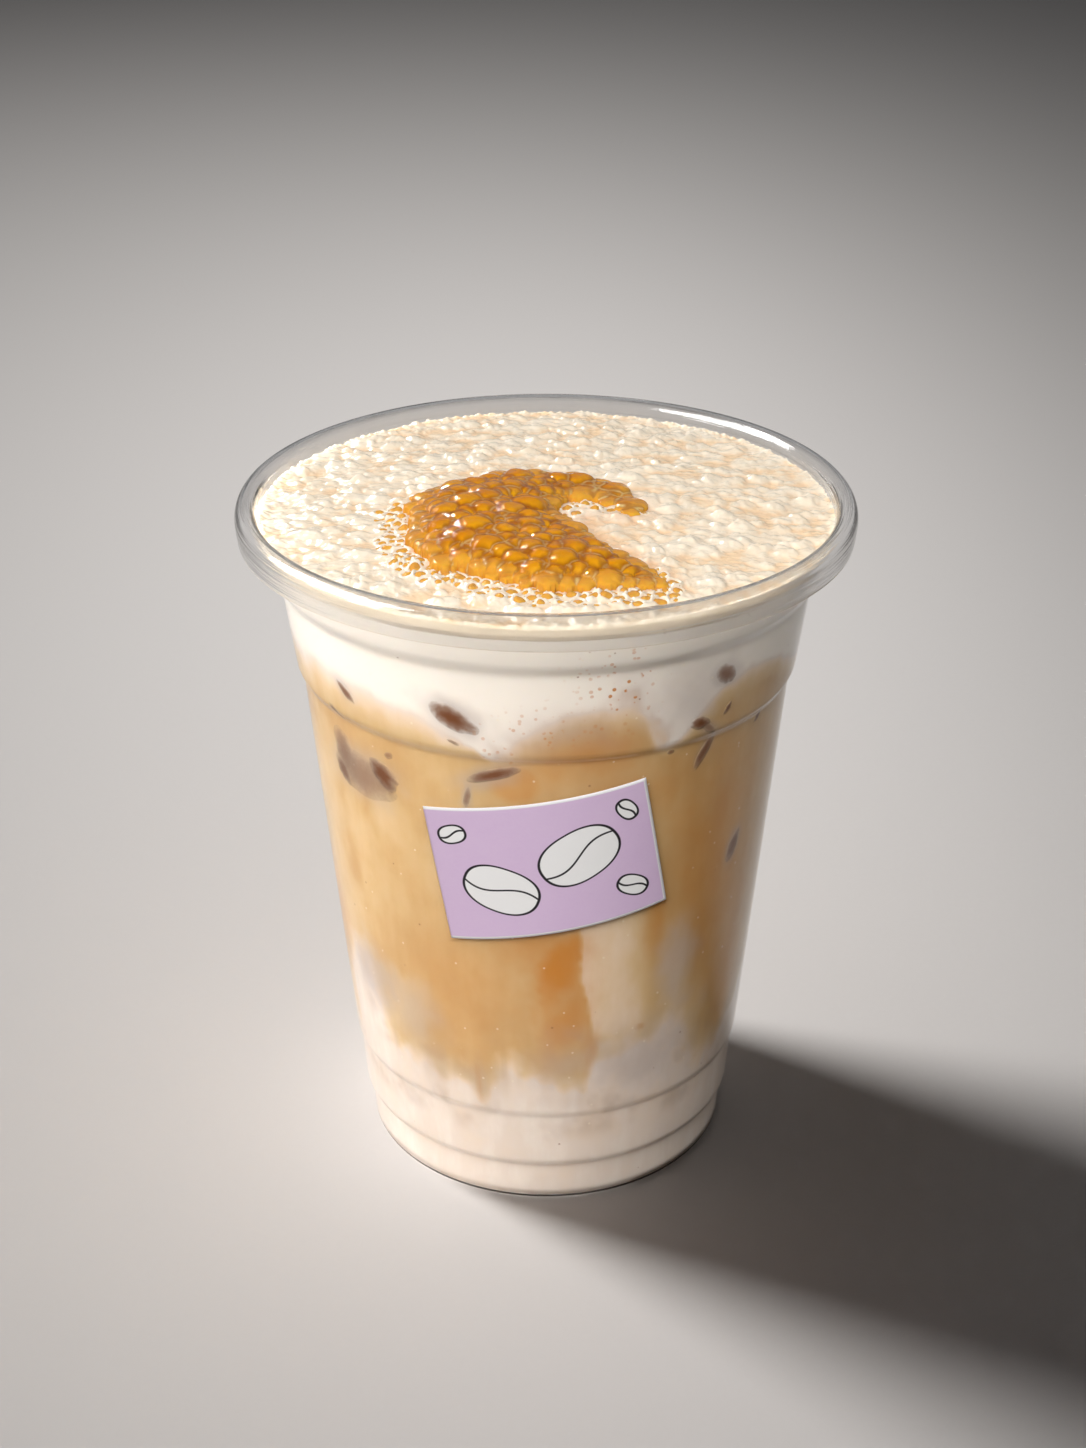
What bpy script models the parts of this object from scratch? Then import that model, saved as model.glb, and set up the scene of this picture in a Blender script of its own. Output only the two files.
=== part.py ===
# Iced white mocha in its clear tumbler: cup, milk, coffee, milk foam, caramel froth and sticker.
# The cup stands on Z = 0 with its axis on Z, and -Y is the side with the sticker.

import math
import random

import bmesh
import bpy
from mathutils import Matrix, Vector, noise

MM = 0.001  # every size below is in millimetres
WELD = 0.00001  # metres: points nearer than this are joined

SEGMENTS = 60  # sides of every turned piece
GAP = 0.3  # clearance between pieces that touch

# Clear tumbler
CUP_HEIGHT = 115.4
RIM_RADIUS = 49.0
WALL = 0.6
OUTER_WALL = (  # radius, height
    (30.7, 1.0),  # foot corner
    (30.9, 7.4),
    (32.0, 8.3),  # lower stacking ring
    (32.8, 18.4),
    (33.3, 19.3),  # upper stacking ring
    (39.6, 87.6),  # top of the long tapered wall
    (40.5, 88.9),  # shoulder
    (42.5, 103.3),
    (43.8, 105.2),  # neck flare
    (46.1, 113.0),  # where the lip turns over
)
LIP_DROP = 5.4  # crest of the lip to the lower edge of its skirt
LIP_TAPER = 0.3  # how far the skirt leans in
LIP_STEPS = (6, 4)  # straight pieces of the lip's outer and inner arc
FOOT_FLAT = (24.0, 29.7)  # inner and outer radius of the ring that the cup stands on
FOOT_RECESS = 1.6  # height of the pushed-up middle of the base
RECESS_RADIUS = 21.5

# Drink
FOAM_EDGE = 112.5  # height of the foam where it meets the cup
FOAM_DOME = 1.6  # how much the foam rises to the middle
FOAM_BUMP = 0.55
FOAM_BUMP_SIZE = 5.5
FOAM_RINGS = 12
LAYER_GAP = 0.5  # measured upright, because the layers' borders are steep
LAYER_RINGS = 4
MILK_TOP = 26.5
MILK_PLUMES = (  # degrees from the front towards +X, rise, half width in degrees
    (21, 22, 10),
    (-66, 10, 9),
    (-9, 3, 7),
    (95, 15, 11),
    (150, 8, 8),
    (-115, 18, 12),
    (-160, 7, 9),
)
COFFEE_TOP = 97.0
FOAM_TONGUES = (
    (-8, -8, 5.5),
    (27, -9, 7),
    (74, -4, 8),
    (112, -8, 9),
    (165, -6, 12),
    (-130, -9, 10),
    (-78, -3, 8),
)

# Caramel froth: a crescent on the foam, open towards +X
FROTH_SPINE = (  # x, y, half width
    (15.0, -31.5, 2.5),
    (8.5, -28.0, 6.5),
    (0.0, -23.0, 10.5),
    (-7.5, -14.5, 12.0),
    (-9.5, -3.5, 11.0),
    (-4.5, 5.0, 8.8),
    (3.0, 9.5, 6.4),
    (9.5, 6.0, 4.4),
    (12.5, -2.0, 2.4),
)
FROTH_FLATNESS = 0.26  # the core's height over its half width
BUBBLE_RADIUS = (1.4, 3.2)
BUBBLE_SINK = 0.35  # share of its radius that a bubble sits below the core's surface
BUBBLE_SPACING = 0.72  # share of two radii that their centres keep apart
BUBBLE_INSET = 0.4  # share of its radius that a centre keeps inside the crescent
BUBBLE_COUNT = 54
BUBBLE_TRIES = 400
LARGE_BUBBLE = 2.3  # radius above which a bubble gets more sides
BUBBLE_SIDES = ((8, 5), (6, 4))  # sides and rows of a large and of a small bubble
BED_RADIUS = 43.0  # disc that cuts the froth to lie on the foam
BED_DEPTH = 20.0
GOLDEN_ANGLE = 2.4
BUBBLE_SEED = 7

# Sticker
STICKER_SIZE = (35.4, 24.3)
STICKER_THICKNESS = 0.2
STICKER_HEIGHT = 68.6  # height of its centre
STICKER_TILT = 10.2  # degrees
STICKER_STEPS = (14, 4)

LOOKS = (  # material name, colour, roughness, then alpha and transmission where it is clear
    ("clear_plastic", (0.93, 0.94, 0.95), 0.05, 0.25, 1.0),
    ("milk", (0.88, 0.82, 0.73), 0.35),
    ("milky_coffee", (0.60, 0.38, 0.17), 0.35),
    ("milk_foam", (0.90, 0.82, 0.70), 0.55),
    ("caramel", (0.62, 0.31, 0.05), 0.15),
    ("lilac_paper", (0.55, 0.38, 0.58), 0.55),
)


def clear_scene():
    for obj in list(bpy.data.objects):
        bpy.data.objects.remove(obj, do_unlink=True)


def make_collection(name):
    collection = bpy.data.collections.new(name)
    bpy.context.scene.collection.children.link(collection)
    return collection


def make_material(name, colour, roughness, alpha=1.0, transmission=0.0):
    material = bpy.data.materials.new(name)
    material.use_nodes = True
    shader = material.node_tree.nodes["Principled BSDF"]
    shader.inputs["Base Color"].default_value = (*colour, 1.0)
    shader.inputs["Roughness"].default_value = roughness
    shader.inputs["Metallic"].default_value = 0.0
    shader.inputs["Alpha"].default_value = alpha
    shader.inputs["Transmission Weight"].default_value = transmission
    material.diffuse_color = (*colour, alpha)
    return material


def add_object(name, mesh, collection):
    obj = bpy.data.objects.new(name, mesh)
    collection.objects.link(obj)
    return obj


def applied_mesh(obj):
    """Replaces an object's mesh with what its modifiers make of it."""
    bpy.context.view_layer.update()
    graph = bpy.context.evaluated_depsgraph_get()
    mesh = bpy.data.meshes.new_from_object(obj.evaluated_get(graph))
    obj.modifiers.clear()
    obj.data = mesh
    return mesh


def turned(name, profile, collection):
    """Turns a profile of (radius, height) round Z. It starts and ends on the axis."""
    mesh = bpy.data.meshes.new(name)
    points = [(radius * MM, 0.0, height * MM) for radius, height in profile]
    mesh.from_pydata(points, [(i, i + 1) for i in range(len(points) - 1)], [])
    obj = add_object(name, mesh, collection)
    screw = obj.modifiers.new("turn", "SCREW")
    screw.axis = "Z"
    screw.angle = math.tau
    screw.steps = SEGMENTS
    screw.render_steps = SEGMENTS
    screw.use_merge_vertices = True
    screw.merge_threshold = WELD
    applied_mesh(obj)
    return obj


def finish(obj, material, sharp=35.0):
    obj.data.materials.clear()
    obj.data.materials.append(material)
    obj.data.shade_smooth()
    obj.data.set_sharp_from_angle(angle=math.radians(sharp))


def wall_radius(height):
    """Outer radius of the tapered wall at a height."""
    for (low_r, low_z), (high_r, high_z) in zip(OUTER_WALL, OUTER_WALL[1:]):
        if height <= high_z:
            return low_r + (high_r - low_r) * (height - low_z) / (high_z - low_z)
    return OUTER_WALL[-1][0]


def inset_wall(distance, top=CUP_HEIGHT):
    """Wall stations, foot to neck, moved towards the axis."""
    return [(radius - distance, height) for radius, height in OUTER_WALL if height < top]


def lip_arc(inset, steps):
    """The turned-over lip, from the drink's side over the crest to the outside."""
    inner, outer = OUTER_WALL[-1][0] - WALL, RIM_RADIUS
    low, crest = OUTER_WALL[-1][1], CUP_HEIGHT
    middle = (inner + outer) / 2
    points = []
    for step in range(steps + 1):
        angle = math.pi * (1 - step / steps)
        radius = middle + ((outer - inner) / 2 - inset) * math.cos(angle)
        points.append((radius, low + (crest - low - inset) * math.sin(angle)))
    return points


def make_cup(collection):
    neck = OUTER_WALL[-1][1]
    floor = [
        (0.0, FOOT_RECESS + WALL),
        (RECESS_RADIUS, FOOT_RECESS + WALL),
        (FOOT_FLAT[0], WALL),
        (FOOT_FLAT[1] - WALL / 2, WALL),
    ]
    inside = inset_wall(WALL, neck)
    inside[0] = (inside[0][0], inside[0][1] + WALL / 2)
    skirt_edge = CUP_HEIGHT - LIP_DROP
    skirt = [(RIM_RADIUS - LIP_TAPER, skirt_edge), (RIM_RADIUS - LIP_TAPER - WALL, skirt_edge)]
    outside = inset_wall(0.0, neck)[::-1]
    base = [
        (FOOT_FLAT[1], 0.0),
        (FOOT_FLAT[0], 0.0),
        (RECESS_RADIUS, FOOT_RECESS),
        (0.0, FOOT_RECESS),
    ]
    over = lip_arc(0.0, LIP_STEPS[0])
    under = lip_arc(WALL, LIP_STEPS[1])[::-1]
    return turned("cup", floor + inside + over + skirt + under + outside + base, collection)


def foam_top(x, y):
    """Height of the foam's lumpy surface: a low dome with soft bumps."""
    radius = math.hypot(x, y)
    dome = FOAM_DOME * (1 - (radius / wall_radius(FOAM_EDGE)) ** 2)
    bump = noise.noise(Vector((x, y, 0.0)) / FOAM_BUMP_SIZE)
    return FOAM_EDGE + dome + FOAM_BUMP * bump


def border_height(x, y, level, plumes):
    """Height of the border between two layers: a level with plumes that fade towards the axis."""
    bearing = math.degrees(math.atan2(x, -y))
    fade = min(1.0, math.hypot(x, y) / wall_radius(level)) ** 2
    rise = 0.0
    for centre, height, width in plumes:
        away = (bearing - centre + 180) % 360 - 180
        rise += height * math.exp(-((away / width) ** 2))
    return level + fade * rise


def lift(obj, height_at, above):
    """Raises every point above a height by height_at(x, y), and splits bent faces alike."""
    shape = bmesh.new()
    shape.from_mesh(obj.data)
    for vertex in shape.verts:
        if vertex.co.z > above * MM:
            vertex.co.z += height_at(vertex.co.x / MM, vertex.co.y / MM) * MM
    bmesh.ops.triangulate(shape, faces=shape.faces, quad_method="SHORT_EDGE")
    shape.to_mesh(obj.data)
    shape.free()


def disc_profile(radius, rings, top, bottom):
    reach = [radius * ring / rings for ring in range(rings + 1)]
    return [(r, top) for r in reach] + [(r, bottom) for r in reversed(reach)]


def make_contents(collection):
    """All of the drink as one turned solid, filling the cup up to the foam's surface."""
    inset = WALL + GAP
    side = inset_wall(inset, FOAM_EDGE)[::-1]
    edge = wall_radius(FOAM_EDGE) - inset
    top = [(edge * ring / FOAM_RINGS, FOAM_EDGE) for ring in range(FOAM_RINGS + 1)]
    side[-1] = (side[-1][0], side[-1][1] + WALL)
    bottom = [
        (FOOT_FLAT[1] - inset, inset),
        (FOOT_FLAT[0], inset),
        (RECESS_RADIUS, FOOT_RECESS + inset),
        (0.0, FOOT_RECESS + inset),
    ]
    obj = turned("contents", top + side + bottom, collection)
    lift(obj, lambda x, y: foam_top(x, y) - FOAM_EDGE, FOAM_EDGE - GAP)
    return obj


def make_border_cutter(name, level, plumes, collection):
    """A thin wavy sheet that parts one layer from the next."""
    half = LAYER_GAP / 2
    obj = turned(name, disc_profile(RIM_RADIUS, LAYER_RINGS, half, -half), collection)
    lift(obj, lambda x, y: border_height(x, y, level, plumes), -CUP_HEIGHT)
    return obj


def hide_cutter(obj):
    obj.hide_render = True
    obj.display_type = "WIRE"


def subtract(obj, cutter):
    cut = obj.modifiers.new("cut", "BOOLEAN")
    cut.operation = "DIFFERENCE"
    cut.solver = "EXACT"
    cut.object = cutter
    applied_mesh(obj)


def loose_pieces(mesh):
    """Lists the vertex indices of each separate piece of a mesh, largest first."""
    links = {vertex.index: [] for vertex in mesh.vertices}
    for edge in mesh.edges:
        first, second = edge.vertices
        links[first].append(second)
        links[second].append(first)
    pieces, seen = [], set()
    for start in links:
        if start in seen:
            continue
        piece, queue = {start}, [start]
        while queue:
            for other in links[queue.pop()]:
                if other not in piece:
                    piece.add(other)
                    queue.append(other)
        seen |= piece
        pieces.append(piece)
    return sorted(pieces, key=len, reverse=True)


def keep_piece(name, mesh, piece, collection):
    copy = bmesh.new()
    copy.from_mesh(mesh)
    copy.verts.ensure_lookup_table()
    spare = [vertex for vertex in copy.verts if vertex.index not in piece]
    bmesh.ops.delete(copy, geom=spare, context="VERTS")
    kept = bpy.data.meshes.new(name)
    copy.to_mesh(kept)
    copy.free()
    return add_object(name, kept, collection)


def make_layers(collection, cutters):
    """Cuts the drink into milk, coffee and milk foam, which all run through the cup."""
    contents = make_contents(collection)
    borders = (
        make_border_cutter("milk_border", MILK_TOP, MILK_PLUMES, cutters),
        make_border_cutter("coffee_border", COFFEE_TOP, FOAM_TONGUES, cutters),
    )
    for border in borders:
        subtract(contents, border)
        hide_cutter(border)
    mesh = contents.data
    pieces = loose_pieces(mesh)[:3]
    pieces.sort(key=lambda piece: min(mesh.vertices[i].co.z for i in piece))
    names = ("milk", "coffee", "foam")
    layers = [keep_piece(name, mesh, piece, collection) for name, piece in zip(names, pieces)]
    bpy.data.objects.remove(contents, do_unlink=True)
    return layers


def spine_curve(collection):
    """The froth's core: a tube along the crescent, as wide as the crescent at each station."""
    curve = bpy.data.curves.new("froth_core", "CURVE")
    curve.dimensions = "3D"
    curve.bevel_depth = 1.0
    curve.bevel_resolution = 3
    curve.resolution_u = 3
    curve.use_fill_caps = True
    spline = curve.splines.new("BEZIER")
    spline.bezier_points.add(len(FROTH_SPINE) - 1)
    for point, (x, y, half_width) in zip(spline.bezier_points, FROTH_SPINE):
        point.co = (x * MM, y * MM, 0.0)
        point.radius = half_width * MM
        point.handle_left_type = "AUTO"
        point.handle_right_type = "AUTO"
    tube = add_object("froth_tube", curve, collection)
    bpy.context.view_layer.update()
    graph = bpy.context.evaluated_depsgraph_get()
    mesh = bpy.data.meshes.new_from_object(tube.evaluated_get(graph))
    bpy.data.objects.remove(tube, do_unlink=True)
    weld = bmesh.new()
    weld.from_mesh(mesh)
    bmesh.ops.remove_doubles(weld, verts=weld.verts, dist=WELD)
    bmesh.ops.recalc_face_normals(weld, faces=weld.faces)
    weld.to_mesh(mesh)
    weld.free()
    for vertex in mesh.vertices:
        x, y, z = vertex.co / MM
        vertex.co.z = (foam_top(x, y) + FROTH_FLATNESS * z) * MM
    return add_object("froth_core", mesh, collection)


def spine_place(share):
    """Point and half width at a share of the way along the crescent."""
    where = share * (len(FROTH_SPINE) - 1)
    start = min(int(where), len(FROTH_SPINE) - 2)
    blend = where - start
    first, second = FROTH_SPINE[start], FROTH_SPINE[start + 1]
    return [a + (b - a) * blend for a, b in zip(first, second)]


def spine_depth(x, y):
    """How far inside the crescent's outline a place is, and how high the core stands there."""
    depth, swell = -RIM_RADIUS, 0.0
    for step in range(SEGMENTS + 1):
        a, b, half_width = spine_place(step / SEGMENTS)
        away = math.hypot(x - a, y - b)
        depth = max(depth, half_width - away)
        swell = max(swell, FROTH_FLATNESS * math.sqrt(max(half_width**2 - away**2, 0.0)))
    return depth, swell


def bubble_places(draw):
    """Bubble centres and radii: large ones first, each one clear of most of its neighbours."""
    low = [min(place[axis] - place[2] for place in FROTH_SPINE) for axis in (0, 1)]
    high = [max(place[axis] + place[2] for place in FROTH_SPINE) for axis in (0, 1)]
    places = []
    for index in range(BUBBLE_COUNT):
        radius = BUBBLE_RADIUS[1] - (BUBBLE_RADIUS[1] - BUBBLE_RADIUS[0]) * index / BUBBLE_COUNT
        for _ in range(BUBBLE_TRIES):
            x, y = draw.uniform(low[0], high[0]), draw.uniform(low[1], high[1])
            depth, swell = spine_depth(x, y)
            clear = (
                math.hypot(x - a, y - b) > BUBBLE_SPACING * (radius + r) for a, b, _, r in places
            )
            if depth > BUBBLE_INSET * radius and all(clear):
                places.append((x, y, foam_top(x, y) + swell - BUBBLE_SINK * radius, radius))
                break
    return places


def make_bubbles(collection):
    """Few-sided balls, each turned by the golden angle so that no two edges line up."""
    for index, (x, y, z, radius) in enumerate(bubble_places(random.Random(BUBBLE_SEED))):
        sides, rows = BUBBLE_SIDES[0] if radius > LARGE_BUBBLE else BUBBLE_SIDES[1]
        turn = Matrix.Rotation(GOLDEN_ANGLE * index, 4, "Z")
        place = Matrix.Translation(Vector((x, y, z)) * MM) @ turn
        ball = bmesh.new()
        bmesh.ops.create_uvsphere(
            ball, u_segments=sides, v_segments=rows, radius=radius * MM, matrix=place
        )
        mesh = bpy.data.meshes.new(f"bubble_{index}")
        ball.to_mesh(mesh)
        ball.free()
        add_object(f"bubble_{index}", mesh, collection)


def make_froth(collection, cutters):
    """Core and bubbles fused into one solid, then cut to lie on the foam."""
    core = spine_curve(collection)
    bubbles = make_collection("bubbles")
    make_bubbles(bubbles)
    union = core.modifiers.new("fuse", "BOOLEAN")
    union.operation = "UNION"
    union.solver = "EXACT"
    union.use_self = True
    union.operand_type = "COLLECTION"
    union.collection = bubbles
    applied_mesh(core)
    for bubble in list(bubbles.objects):
        bpy.data.objects.remove(bubble, do_unlink=True)
    bpy.data.collections.remove(bubbles)
    bed = turned("foam_bed", disc_profile(BED_RADIUS, FOAM_RINGS, GAP, -BED_DEPTH), cutters)
    lift(bed, foam_top, -CUP_HEIGHT)
    hide_cutter(bed)
    subtract(core, bed)
    froth = keep_piece("froth", core.data, loose_pieces(core.data)[0], collection)
    bpy.data.objects.remove(core, do_unlink=True)
    return froth


def make_sticker(collection):
    """A flat grid, tilted and laid round the tapered wall, then given its thickness."""
    width, height = STICKER_SIZE
    grid = bmesh.new()
    bmesh.ops.create_grid(grid, x_segments=STICKER_STEPS[0], y_segments=STICKER_STEPS[1], size=0.5)
    tilt = math.radians(STICKER_TILT)
    for vertex in grid.verts:
        across, up = vertex.co.x * width, vertex.co.y * height
        along = across * math.cos(tilt) - up * math.sin(tilt)
        z = STICKER_HEIGHT + across * math.sin(tilt) + up * math.cos(tilt)
        angle = along / wall_radius(z)
        radius = wall_radius(z) + GAP
        vertex.co = Vector((radius * math.sin(angle), -radius * math.cos(angle), z)) * MM
    bmesh.ops.recalc_face_normals(grid, faces=grid.faces)
    mesh = bpy.data.meshes.new("sticker")
    grid.to_mesh(mesh)
    grid.free()
    obj = add_object("sticker", mesh, collection)
    if mesh.polygons[0].normal.y > 0:
        mesh.flip_normals()
    skin = obj.modifiers.new("thickness", "SOLIDIFY")
    skin.thickness = STICKER_THICKNESS * MM
    skin.offset = 1.0
    return obj


def main():
    clear_scene()
    parts = make_collection("iced_white_mocha")
    cutters = make_collection("cutters")
    cup = make_cup(parts)
    milk, coffee, foam = make_layers(parts, cutters)
    froth = make_froth(parts, cutters)
    sticker = make_sticker(parts)
    pieces = (cup, milk, coffee, foam, froth, sticker)
    for piece, look in zip(pieces, LOOKS):
        finish(piece, make_material(*look))


main()
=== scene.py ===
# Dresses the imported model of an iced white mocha: clear tumbler, drink, milk foam, froth and sticker.
import math

import bpy
import numpy as np
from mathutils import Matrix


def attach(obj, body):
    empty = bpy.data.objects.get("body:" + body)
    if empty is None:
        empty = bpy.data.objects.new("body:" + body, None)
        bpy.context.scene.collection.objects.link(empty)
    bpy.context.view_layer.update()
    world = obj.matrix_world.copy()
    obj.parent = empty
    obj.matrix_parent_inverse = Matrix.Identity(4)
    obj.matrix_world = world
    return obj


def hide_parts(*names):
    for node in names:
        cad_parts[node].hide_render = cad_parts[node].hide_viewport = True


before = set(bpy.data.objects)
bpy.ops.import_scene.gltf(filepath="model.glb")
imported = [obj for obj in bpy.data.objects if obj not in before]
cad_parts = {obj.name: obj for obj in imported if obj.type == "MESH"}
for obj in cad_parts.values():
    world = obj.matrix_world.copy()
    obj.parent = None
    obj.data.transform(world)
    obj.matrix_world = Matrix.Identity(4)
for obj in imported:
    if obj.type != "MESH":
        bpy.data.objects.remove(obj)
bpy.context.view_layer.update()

mm = 0.001  # shapes are worked out in millimetres and written in metres
tau = 2 * math.pi


# Fields: arrays in, arrays out


def smoothStep(low, high, value):
    # 0 below low, 1 above high, and 3t^2 - 2t^3 between them
    t = np.clip((value - low) / (high - low), 0, 1)
    return t * t * (3 - 2 * t)


def latticeValue(column, row, seed):
    # a repeatable number from 0 to 1 for each whole-number place
    n = np.sin(column * 127.1 + row * 311.7 + seed * 74.7) * 43758.5453
    return n - np.floor(n)


def softNoise(u, v, seed, wrap=0):
    # random lattice values blended by smooth steps in both directions; wrap closes the u direction
    c, r = np.floor(u), np.floor(v)
    a, b = smoothStep(0, 1, u - c), smoothStep(0, 1, v - r)
    c1 = c + 1
    if wrap:
        c, c1 = np.mod(c, wrap), np.mod(c1, wrap)
    low = latticeValue(c, r, seed) * (1 - a) + latticeValue(c1, r, seed) * a
    high = latticeValue(c, r + 1, seed) * (1 - a) + latticeValue(c1, r + 1, seed) * a
    return low * (1 - b) + high * b


def layeredNoise(u, v, seed, layers=3):
    # soft noise at halving sizes and halving strengths, from 0 to 1
    total, weight = 0, 0
    for k in range(layers):
        total = total + softNoise(u * 2**k, v * 2**k, seed + 17 * k) / 2**k
        weight += 1 / 2**k
    return total / weight


def cellNoise(x, y, size, seed, jitter=0.85):
    # one scattered centre in each square: the distance to the nearest, and that one's own number
    u, v = x / size, y / size
    c, r = np.floor(u), np.floor(v)
    first = np.full(np.shape(x), 9.0)
    number = np.zeros(np.shape(x))
    for dc in (-1, 0, 1):
        for dr in (-1, 0, 1):
            cu = c + dc + 0.5 + jitter * (latticeValue(c + dc, r + dr, seed) - 0.5)
            cv = r + dr + 0.5 + jitter * (latticeValue(c + dc, r + dr, seed + 5) - 0.5)
            d = np.hypot(u - cu, v - cv)
            nearer = d < first
            number = np.where(nearer, latticeValue(c + dc, r + dr, seed + 9), number)
            first = np.where(nearer, d, first)
    return first, number


def bentPlace(x, y, bends, seed):
    # places pushed aside by noise; each bend is a kind of noise, its scale and how far it pushes
    pushed = []
    for along in (x, y):
        for kind, scale, reach in bends:
            along = along + reach * (kind(x * scale, y * scale, seed) - 0.5)
            seed += 1
        pushed.append(along)
    return pushed


def bearingOf(x, y):
    # degrees round the cup: 0 at the sticker's side, positive towards +X
    return np.degrees(np.arctan2(x, -y))


def turnBetween(a, b):
    # degrees from bearing b to bearing a, the short way round
    return np.mod(a - b + 180, 360) - 180


# Meshes


def meshFrom(name, points, faces):
    # an object from points in millimetres and faces that count them
    mesh = bpy.data.meshes.new(name)
    mesh.from_pydata((points * mm).tolist(), [], faces)
    mesh.validate()
    mesh.shade_smooth()
    piece = bpy.data.objects.new(name, mesh)
    bpy.context.scene.collection.objects.link(piece)
    return piece


def gridFaces(rows, columns, wrap):
    # quads of a grid whose points are numbered row by row
    index = np.arange(rows * columns).reshape(rows, columns)
    right = np.roll(index, -1, axis=1)
    stop = columns if wrap else columns - 1
    quads = np.stack([index[:-1], index[1:], right[1:], right[:-1]], axis=-1)[:, :stop]
    return quads.reshape(-1, 4)


def gridEdge(index):
    # the outermost numbers of a grid, once round anticlockwise
    return np.concatenate([index[0, :-1], index[:-1, -1], index[-1, :0:-1], index[:0:-1, 0]])


def fanFaces(hub, ring, inward=False):
    # triangles from one point to every stretch of a closed ring
    pair = (np.roll(ring, -1), ring) if inward else (ring, np.roll(ring, -1))
    return np.stack([np.full(len(ring), hub), *pair], axis=-1).tolist()


def bandFaces(upper, lower):
    # quads between two closed rings of as many points
    return np.stack([upper, lower, np.roll(lower, -1), np.roll(upper, -1)], axis=1).tolist()


def ringPoints(radius, angle, height):
    # x = r cos a, y = r sin a
    level = height + 0 * radius * angle
    return np.stack([radius * np.cos(angle), radius * np.sin(angle), level], axis=-1).reshape(-1, 3)


def bearingPoints(radius, angle, height):
    # the same with bearings, so that 0 faces the camera: x = r sin a, y = -r cos a
    return ringPoints(radius, angle - math.pi / 2, height)


def turnedPiece(name, radii, heights, segments):
    # a profile from axis to axis, down its outer side, carried round Z; each end closes in a fan
    angle = np.arange(segments) / segments * tau
    radii, heights = np.asarray(radii, float), np.asarray(heights, float)
    inner, level = radii[1:-1, None], heights[1:-1, None]
    rows = len(radii) - 2
    points = np.vstack([ringPoints(inner, angle, level), [[0, 0, heights[0]], [0, 0, heights[-1]]]])
    top, bottom = rows * segments, rows * segments + 1
    first = np.arange(segments)
    last = first + (rows - 1) * segments
    faces = gridFaces(rows, segments, True).tolist()
    faces += fanFaces(top, first) + fanFaces(bottom, last, inward=True)
    return meshFrom(name, points, faces), points


def addField(piece, name, values):
    # a value for each point, which a material reads by its name
    field = piece.data.attributes.new(name, "FLOAT", "POINT")
    field.data.foreach_set("value", np.ascontiguousarray(values, dtype=np.float32).ravel())


def settle(piece, material, slot, *nodes):
    # gives a piece its material and its place among the solids
    piece.data.materials.clear()
    piece.data.materials.append(material)
    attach(piece, "root")
    if nodes:
        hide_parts(*nodes)


# Shader helpers


def srgb(red, green, blue):
    # screen values 0 to 255 as the linear colour that a shader takes
    share = np.array([red, green, blue]) / 255
    low, high = share / 12.92, ((share + 0.055) / 1.055) ** 2.4
    return (*np.where(share <= 0.04045, low, high).tolist(), 1.0)


class Nodes:
    # builds one node tree, a call for each kind of node

    def __init__(self, tree):
        self.tree = tree
        self.column = 0

    def add(self, kind, **settings):
        node = self.tree.nodes.new(kind)
        self.column += 1
        node.location = (180 * (self.column % 12), -220 * (self.column // 12))
        for key, value in settings.items():
            setattr(node, key, value)
        return node

    def put(self, socket, value):
        if isinstance(value, bpy.types.NodeSocket):
            self.tree.links.new(value, socket)
        else:
            socket.default_value = value

    def math(self, operation, *values, clamp=False):
        node = self.add("ShaderNodeMath", operation=operation, use_clamp=clamp)
        for socket, value in zip(node.inputs, values):
            self.put(socket, value)
        return node.outputs[0]

    def times(self, first, second, clamp=False):
        return self.math("MULTIPLY", first, second, clamp=clamp)

    def mix(self, share, a, b):
        node = self.add("ShaderNodeMix", data_type="RGBA")
        self.put(node.inputs["Factor"], share)
        self.put(node.inputs["A"], a)
        self.put(node.inputs["B"], b)
        return node.outputs["Result"]

    def step(self, low, high, value):
        node = self.add("ShaderNodeMapRange", interpolation_type="SMOOTHSTEP")
        self.put(node.inputs["Value"], value)
        self.put(node.inputs["From Min"], low)
        self.put(node.inputs["From Max"], high)
        return node.outputs["Result"]

    def parts(self, vector):
        node = self.add("ShaderNodeSeparateXYZ")
        self.put(node.inputs[0], vector)
        return node.outputs["X"], node.outputs["Y"]

    def field(self, name):
        return self.add("ShaderNodeAttribute", attribute_name=name).outputs["Fac"]

    def place(self, scale=(1, 1, 1), turn=(0, 0, 0)):
        mapping = self.add("ShaderNodeMapping")
        mapping.inputs["Scale"].default_value = scale
        mapping.inputs["Rotation"].default_value = turn
        source = self.add("ShaderNodeTexCoord").outputs["Object"]
        self.tree.links.new(source, mapping.inputs["Vector"])
        return mapping.outputs["Vector"]

    def noise(self, where, scale, detail=3.0, rough=0.5):
        node = self.add("ShaderNodeTexNoise")
        self.put(node.inputs["Vector"], where)
        self.put(node.inputs["Scale"], scale)
        self.put(node.inputs["Detail"], detail)
        self.put(node.inputs["Roughness"], rough)
        return node.outputs["Fac"]

    def cells(self, where, scale, feature="F1"):
        node = self.add("ShaderNodeTexVoronoi", feature=feature)
        self.put(node.inputs["Vector"], where)
        self.put(node.inputs["Scale"], scale)
        return node.outputs["Distance"]

    def ramp(self, share, stops):
        node = self.add("ShaderNodeValToRGB")
        while len(node.color_ramp.elements) < len(stops):
            node.color_ramp.elements.new(0.5)
        for element, (place, colour) in zip(node.color_ramp.elements, stops):
            element.position = place
            element.color = colour
        self.put(node.inputs["Fac"], share)
        return node.outputs["Color"]

    def bump(self, height, strength, distance, normal=None):
        node = self.add("ShaderNodeBump")
        self.put(node.inputs["Height"], height)
        self.put(node.inputs["Strength"], strength)
        self.put(node.inputs["Distance"], distance)
        if normal:
            self.put(node.inputs["Normal"], normal)
        return node.outputs["Normal"]


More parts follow.
